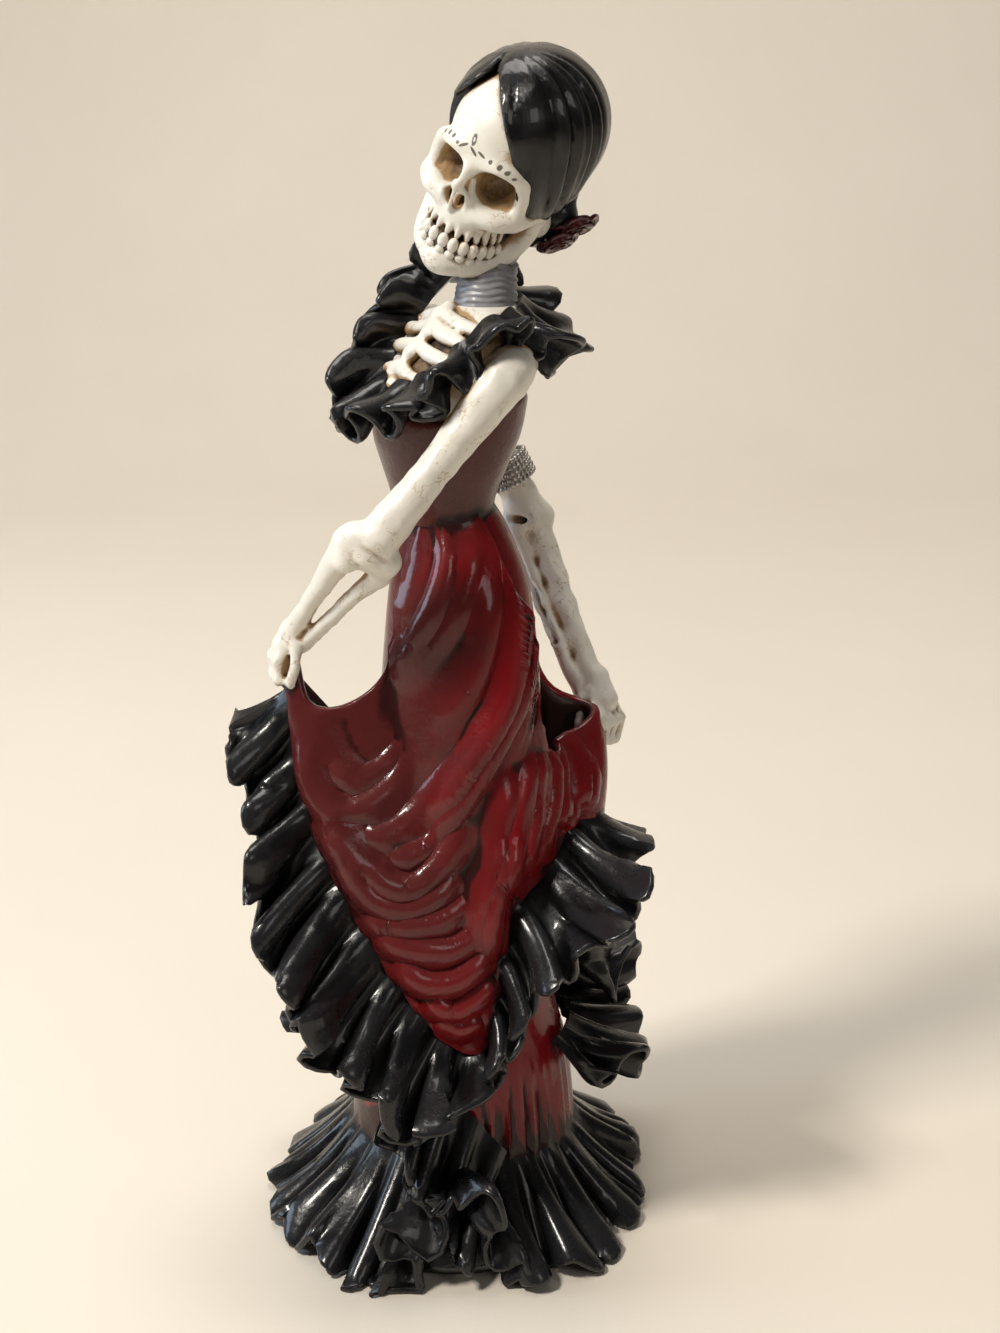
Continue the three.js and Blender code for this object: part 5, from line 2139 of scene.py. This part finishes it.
@dataclass(frozen=True)
class Gloss:
    """Gloss paint on cast cloth: painted shade in its hollows and closed-in places, worn on its edges.

    Attributes:
        name: The material's name.
        colour: The paint on open surfaces.
        shade: The painted shade in hollows, creases and closed-in places.
        worn: The colour on rubbed edges.
        wear: How much of it shows, from 0 to 1.
        rough: Roughness of the open paint.
        coat: Weight of the clear coat.
        mottle: How much the colour varies.
        tone_and_sheen: A darker, duller red at the viewer's left and in patches, partly the paint's own tone
            and partly a painted sheen.
        shine: Specular level of the paint.
    """

    name: str
    colour: Colour
    shade: Colour
    worn: Colour
    wear: float = 0.3
    rough: float = 0.3
    coat: float = 0.6
    mottle: float = 0.35
    tone_and_sheen: Optional[Colour] = None
    shine: float = 0.5

    def build(self) -> Material:
        """Builds the material.

        Returns:
            The material.
        """
        s = Surface(self.name)
        hollow, deep, closed = s.attribute("hollow"), s.attribute("deep"), s.attribute("shade")
        cloud, speck, fine = s.noise(11, 5), s.noise(1.5, 4, 0.65), s.noise(0.5, 2)
        # Painted shade: darker where the surface is hollow or closed in by the casting, where shade falls.
        painted_shade = closed.step(0.2, 0.7) * 0.8 + hollow.step(0.02, 0.14) * 0.8 + deep.step(0.1, 0.9) * 0.35
        painted_shade = (painted_shade + (cloud - 0.5) * self.mottle).step(0.1, 0.95)
        axes = s.node("ShaderNodeSeparateXYZ", {}, {0: s.place}).outputs
        across, up = Term(s, axes["X"]) * (1 / MM), Term(s, axes["Z"]) * (1 / MM)
        # Duller red at the viewer's left and in patches above 55 mm: partly the paint's own tone, partly a
        # painted sheen.
        patch = (1.1 - across.step(-30, 32) + (s.noise(24, 3) - 0.5) * 1.6).step(0.1, 0.9)
        patch = patch * up.step(55, 105)
        paint = s.mix(patch, self.colour, self.tone_and_sheen or self.colour)
        paint = s.mix(painted_shade, paint, self.shade)
        edge = (hollow * -1).step(0.14, 0.3) * (0.4 + speck * 0.8) * self.wear
        paint = s.mix(edge, paint, self.worn)
        dust = fine.step(0.7, 0.78) * cloud.step(0.5, 0.7) * self.wear * 0.4
        paint = s.mix(dust, paint, self.worn)
        rough = self.rough + (cloud - 0.5) * 0.2 + (speck - 0.5) * 0.1 + painted_shade * 0.16
        grain = s.bump(fine, 0.02, s.bump(speck, 0.05))
        dents = s.bump(s.noise(5, 3), 0.32, grain)
        constants = {"Coat_Weight": self.coat, "Coat_Roughness": 0.08, "IOR": 1.5}
        return s.shade(paint, rough, dents, **constants, Specular_IOR_Level=self.shine)


@dataclass(frozen=True)
class Mark:
    """A painted oval on the forehead, in the head's frame.

    Attributes:
        x: Its middle to the viewer's right.
        z: Its middle upwards.
        wide: Half its width.
        high: Half its height.
        turn: Its turn in degrees.
        hollow: The share of it that stays unpainted inside.
    """

    x: float
    z: float
    wide: float
    high: float
    turn: float = 0.0
    hollow: float = 0.0

    def share(self, s: "Surface") -> Term:
        """How much of the paint lies at each place, from 0 to 1.

        Args:
            s: The material that it is painted in.

        Returns:
            The share.
        """
        head = Head()
        spin = head.matrix().to_3x3().normalized().to_euler()
        sockets = {
            "Vector": s.place, "Location": tuple(c * MM for c in head.at), "Rotation": tuple(spin),
            "Scale": (head.scale * MM,) * 3,
        }
        local = s.node("ShaderNodeMapping", {"vector_type": "TEXTURE"}, sockets).outputs[0]
        parts = s.node("ShaderNodeSeparateXYZ", {}, {0: local}).outputs
        x, y, z = (Term(s, part) for part in parts)
        c, d = math.cos(math.radians(self.turn)), math.sin(math.radians(self.turn))
        x, z = x - self.x, z - self.z
        u, v = (x * c + z * d) * (1 / self.wide), (z * c - x * d) * (1 / self.high)
        off = (u * u + v * v) ** 0.5 + (s.noise(0.6, 2) - 0.5) * 0.5
        inside = 1 - off.step(0.8, 1.1)
        if self.hollow:
            inside = inside * off.step(self.hollow - 0.15, self.hollow + 0.1)
        return inside * (1 - y.step(-12, -10)) * 0.85


FOREHEAD = (
    Mark(-11.7, 5.8, 0.45, 0.4), Mark(-10, 6.6, 0.5, 0.45), Mark(-8.2, 6.9, 0.5, 0.5),
    Mark(-6.2, 6.4, 0.55, 0.45), Mark(-4.4, 6.6, 1.3, 0.4, 38), Mark(-2.2, 9.2, 0.75, 1.7, 6, 0.4),
    Mark(-1.2, 6.5, 1.5, 0.42, -28),
    Mark(1.2, 6.8, 1.3, 0.4, -14), Mark(4.3, 6.5, 0.6, 0.55), Mark(7.2, 6.5, 0.75, 0.65),
    Mark(9.5, 6.0, 0.7, 0.6), Mark(11.4, 5.0, 0.5, 0.45),
)


@dataclass(frozen=True)
class Bone:
    """Cream paint on bone with a brown wash in its hollows, and brown painted shade where the casting closes
    in.

    Attributes:
        name: The material's name.
        colour: The cream paint.
        ochre: The thin wash.
        brown: The thick wash in the deepest lines, also the painted shade in the most closed-in places.
        rough: Roughness of the open paint.
        line: The hollow, in millimetres, that the thick wash fills.
        marks: What is painted on it.
    """

    name: str
    colour: Colour = (0.80, 0.77, 0.69)
    ochre: Colour = (0.38, 0.22, 0.075)
    brown: Colour = (0.035, 0.018, 0.009)
    rough: float = 0.38
    line: float = 0.2
    marks: tuple[Mark, ...] = ()

    def build(self) -> Material:
        """Builds the material.

        Returns:
            The material.
        """
        s = Surface(self.name)
        hollow, deep, closed = s.attribute("hollow"), s.attribute("deep"), s.attribute("shade")
        cloud, speck, patch = s.noise(8, 5), s.noise(0.9, 4, 0.6), s.noise(3.2, 4, 0.6)
        thin = closed.step(0.06, 0.6) * 0.9 + deep.step(0.05, 0.6) * 0.5 + hollow.step(0.0, 0.1) * 0.4
        thin = (thin + (cloud - 0.5) * 0.9 + (patch - 0.5) * 0.5).step(0.12, 0.95)
        vein = (s.noise(4.5, 3, 0.6) - 0.5).math("ABSOLUTE").step(0.022, 0.004) * cloud.step(0.48, 0.62)
        paint = s.mix(thin * 0.9, self.colour, self.ochre)
        # Brown in the deepest lines is wash; where the casting closes in, it is painted shade.
        thick = hollow.step(self.line * 0.3, self.line * 1.3) * 0.7 + closed.step(0.45, 0.9) * 0.7
        thick = (thick * (0.6 + speck * 0.7)).step(0.25, 0.95)
        paint = s.mix(thick, s.mix(vein * 0.55, paint, self.ochre), self.brown)
        for mark in self.marks:
            paint = s.mix(mark.share(s), paint, self.brown)
        rough = self.rough + (cloud - 0.5) * 0.24 + thick * 0.2
        grain = s.bump(speck, 0.05)
        dents = s.bump(patch, 0.16, grain)
        return s.shade(paint, rough, dents, Coat_Weight=0.3, Coat_Roughness=0.2, IOR=1.48)


@dataclass(frozen=True)
class Hair:
    """Black gloss hair with fine strands.

    Attributes:
        name: The material's name.
        colour: The paint.
        worn: The colour on rubbed edges.
    """

    name: str
    colour: Colour = (0.004, 0.004, 0.005)
    worn: Colour = (0.035, 0.032, 0.03)

    def build(self) -> Material:
        """Builds the material.

        Returns:
            The material.
        """
        s = Surface(self.name)
        grain = s.node("ShaderNodeAttribute", {"attribute_name": "grain"}).outputs["Vector"]
        hollow, closed = s.attribute("hollow"), s.attribute("shade")
        strand = s.node("ShaderNodeMapping", {}, {"Vector": grain, "Scale": (150, 150, 7)}).outputs[0]
        spots = {"Vector": strand, "Scale": 1.0, "Detail": 3.0}
        fine = Term(s, s.node("ShaderNodeTexNoise", {}, spots).outputs["Fac"])
        cloud = s.noise(8, 4)
        edge = (hollow * -1).step(0.03, 0.2) * cloud.step(0.35, 0.65) * 0.5 + fine.step(0.6, 0.75) * 0.15
        paint = s.mix(edge, self.colour, self.worn)
        rough = 0.13 + fine * 0.1 + (cloud - 0.5) * 0.1 + closed * 0.2
        normal = s.bump(fine, 0.1, s.bump(s.noise(5, 3), 0.12))
        constants = {"Coat_Weight": 0.35, "Coat_Roughness": 0.06, "IOR": 1.5}
        return s.shade(paint, rough, normal, **constants, Specular_IOR_Level=0.3)


@dataclass(frozen=True)
class Silver:
    """Small silvered beads.

    Attributes:
        name: The material's name.
    """

    name: str

    def build(self) -> Material:
        """Builds the material.

        Returns:
            The material.
        """
        s = Surface(self.name)
        cloud, speck = s.noise(2.5, 3), s.noise(0.4, 2)
        paint = s.mix(cloud.step(0.35, 0.7), (0.62, 0.6, 0.56), (0.32, 0.3, 0.27))
        return s.shade(paint, 0.2 + cloud * 0.25, s.bump(speck, 0.03), Metallic=0.85)


# The band of beads


@dataclass
class BeadBand:
    """Rows of small beads round the arm behind her back.

    Attributes:
        middle: The band's middle, in millimetres.
        along: The direction of the arm.
        inner: Radius of the clear hole.
        bead: Radius of a bead.
        rows: How many rows there are.
        around: How many beads go round.
        pitch: The step from one row to the next, in radii of a bead.
        name: The piece's name.
    """

    middle: Spot = (13.6, 31.8, 193.6)
    along: Spot = (8.5, 1.8, -17)
    inner: float = 5.6
    bead: float = 0.72
    rows: int = 5
    around: int = 30
    pitch: float = 2.05
    name: str = "bead_rows"

    def build(self, material: Material) -> Object:
        """The band as one object.

        Args:
            material: The beads' material.

        Returns:
            The object.
        """
        sizes = {
            "Radius": (self.inner + self.bead + 0.2) * MM, "Bead": self.bead * MM,
            "Rows": self.rows, "Around": self.around, "Pitch": self.pitch * self.bead * MM,
        }
        tree = Repeater("bead_rows", sizes)
        circle = {"Vertices": tree.size("Around"), "Radius": tree.size("Radius")}
        ring = tree.node("GeometryNodeMeshCircle", {}, circle)
        step = tree.node("ShaderNodeCombineXYZ", {}, {2: tree.size("Pitch")})
        line_sockets = {"Count": tree.size("Rows"), "Offset": step.outputs[0]}
        line = tree.node("GeometryNodeMeshLine", {}, line_sockets)
        sockets = {"Points": line.outputs[0], "Instance": ring.outputs[0]}
        stacked = tree.node("GeometryNodeInstanceOnPoints", {}, sockets)
        spots = tree.node("GeometryNodeRealizeInstances", {}, {0: stacked.outputs[0]})
        bead = tree.node("GeometryNodeMeshIcoSphere", {}, {"Radius": tree.size("Bead"), "Subdivisions": 2})
        sockets = {"Points": spots.outputs[0], "Instance": bead.outputs[0]}
        placed = tree.node("GeometryNodeInstanceOnPoints", {}, sockets)
        tree.finish(placed.outputs[0], material)
        mesh = tree.run(bpy.data.meshes.new("band"))
        mesh.name = self.name
        lift = Matrix.Translation((0, 0, -(self.rows - 1) / 2 * self.pitch * self.bead * MM))
        aim = Vector(self.along).to_track_quat("Z", "Y").to_matrix().to_4x4()
        mesh.transform(Matrix.Translation(Vector(self.middle) * MM) @ aim @ lift)
        mesh.polygons.foreach_set("use_smooth", np.ones(len(mesh.polygons), bool))
        return new_object(self.name, mesh)


# The studio


@dataclass
class Studio:
    """The camera at the photograph's viewing angle, a pale floor and soft lights.

    Attributes:
        eye: Where the camera stands, in metres.
        pitch: Its turn about X, in degrees.
        lens: Its lens on a 36 mm sensor.
        air: The colour of the room's own light.
        glow: Its strength.
    """

    eye: Spot = (0.012, -0.464, 0.290)
    pitch: float = 73.1
    lens: float = 51.6
    air: Colour = (0.9, 0.86, 0.8)
    glow: float = 0.07

    def camera(self) -> None:
        """Adds the camera."""
        data = bpy.data.cameras.new("camera")
        data.lens, data.sensor_width = self.lens, 36.0
        camera = new_object("camera", data)
        camera.location = self.eye
        camera.rotation_euler = (math.radians(self.pitch), 0, 0)
        bpy.context.scene.camera = camera

    def floor(self) -> None:
        """Adds the floor, which curves up far behind the figure."""
        depth = [(-1.6, 0.0), (0.9, 0.0)]
        bend = np.linspace(0.1, math.pi / 2, 12)
        depth += [(0.9 + 0.5 * math.sin(a), 0.5 - 0.5 * math.cos(a)) for a in bend]
        depth.append((1.4, 3.0))
        points = [(x, y, z) for y, z in depth for x in (-4.0, 4.0)]
        faces = [(2 * i, 2 * i + 1, 2 * i + 3, 2 * i + 2) for i in range(len(depth) - 1)]
        mesh = bpy.data.meshes.new("floor")
        mesh.from_pydata(points, [], faces)
        mesh.polygons.foreach_set("use_smooth", np.ones(len(faces), bool))
        s = Surface("pale_floor")
        cloud = s.noise(160, 3)
        paint = s.mix(cloud, (0.70, 0.64, 0.55), (0.75, 0.69, 0.60))
        mesh.materials.append(s.shade(paint, 0.75, s.bump(s.noise(2, 2), 0.05)))
        new_object("floor", mesh)

    def light(
        self, name: str, at: Colour, size: float, power: float, colour: Colour, aim: Colour = (0, 0, 0.15)
    ) -> None:
        """Adds a square light.

        Args:
            name: Its name.
            at: Its place, in metres.
            size: Its side.
            power: Its power, in watts.
            colour: Its colour.
            aim: The place that it faces.
        """
        data = bpy.data.lights.new(name, "AREA")
        data.size, data.energy, data.color = size, power, colour
        lamp = new_object(name, data)
        lamp.location = at
        lamp.rotation_euler = (Vector(aim) - Vector(at)).to_track_quat("-Z", "Y").to_euler()

    def build(self) -> None:
        """Adds everything."""
        self.camera()
        self.floor()
        self.light("key", (-0.58, -0.42, 1.0), 0.2, 11.5, (1.0, 0.94, 0.86))
        self.light("window", (-0.95, 0.05, 0.4), 0.42, 3.6, (0.66, 0.82, 1.0))
        self.light("fill", (0.7, -0.9, 0.7), 0.4, 1.5, (1.0, 0.95, 0.9))
        self.light("backdrop", (0.0, 0.35, 1.9), 0.9, 23, (1.0, 0.96, 0.91), (0.0, 1.4, 0.45))
        world = bpy.data.worlds.new("room")
        world.use_nodes = True
        background = world.node_tree.nodes["Background"].inputs
        background[0].default_value, background[1].default_value = (*self.air, 1), self.glow
        bpy.context.scene.world = world
        bpy.context.scene.view_settings.view_transform = "Standard"


FINISHES: dict[Paint, Union[Gloss, Bone, Hair]] = {
    Paint.CLOTH: Gloss(
        "crimson_cloth", (0.19, 0.006, 0.009), (0.024, 0.003, 0.003), (0.2, 0.05, 0.05),
        wear=0.2, rough=0.22, coat=0.26, tone_and_sheen=(0.085, 0.014, 0.014), shine=0.2,
    ),
    Paint.FRILL: Gloss(
        "black_frill", (0.005, 0.005, 0.006), (0.002, 0.002, 0.0025), (0.05, 0.05, 0.055),
        wear=0.25, rough=0.29, coat=0.25, mottle=0.4, shine=0.3,
    ),
    Paint.BODICE: Gloss(
        "wine_bodice", (0.075, 0.018, 0.015), (0.018, 0.006, 0.006), (0.14, 0.05, 0.045),
        wear=0.2, rough=0.27, coat=0.2, shine=0.25,
    ),
    Paint.BONE: Bone("washed_bone", marks=FOREHEAD),
    Paint.HAIR: Hair("black_hair"),
    Paint.ROSE: Gloss(
        "dark_rose", (0.055, 0.003, 0.005), (0.006, 0.001, 0.002), (0.09, 0.012, 0.012),
        wear=0.1, coat=0.3, shine=0.3,
    ),
    Paint.BASE: Gloss(
        "black_base", (0.006, 0.006, 0.007), (0.002, 0.002, 0.002), (0.07, 0.07, 0.07),
        rough=0.24, coat=0.5,
    ),
    Paint.LINING: Gloss(
        "brown_lining", (0.055, 0.028, 0.024), (0.012, 0.006, 0.005), (0.16, 0.09, 0.08),
        wear=0.4, rough=0.36, coat=0.4,
    ),
    Paint.TOOTH: Bone("washed_tooth", line=0.14),
    # The neck's grey-blue is painted shade under the head, with a painted bluish reflection of the window
    # light.
    Paint.NECK: Bone(
        "shaded_neck_bone", (0.26, 0.26, 0.28), (0.12, 0.1, 0.085), (0.02, 0.014, 0.012), rough=0.42, line=0.12
    ),
    Paint.DARK: Gloss(
        "brown_line", (0.07, 0.04, 0.022), (0.008, 0.004, 0.002), (0.1, 0.06, 0.03), rough=0.5, coat=0.1
    ),
}


def main() -> None:
    """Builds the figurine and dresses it."""
    logging.basicConfig(level=logging.INFO, format="%(message)s")
    Studio().build()
    shapes = []
    for part in (Base(), DRESS, TORSO, LEFT_ARM, RIGHT_ARM, Head()):
        made = list(part.shapes())
        shapes += made
        faces = sum(len(shape.faces) for shape in made)
        log.info("%s: %d shapes, %d faces", type(part).__name__, len(made), faces)
    casting = Casting().build(shapes, [FINISHES[paint].build() for paint in Paint])
    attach(casting, "root")
    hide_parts("figure")
    casting.data.calc_loop_triangles()
    log.info("casting: %d triangles", len(casting.data.loop_triangles))
    band = BeadBand().build(Silver("silver_beads").build())
    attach(band, "root")
    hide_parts("bead_band")
    log.info("bead band: %d faces", len(band.data.polygons))


if __name__ == "__main__":
    main()
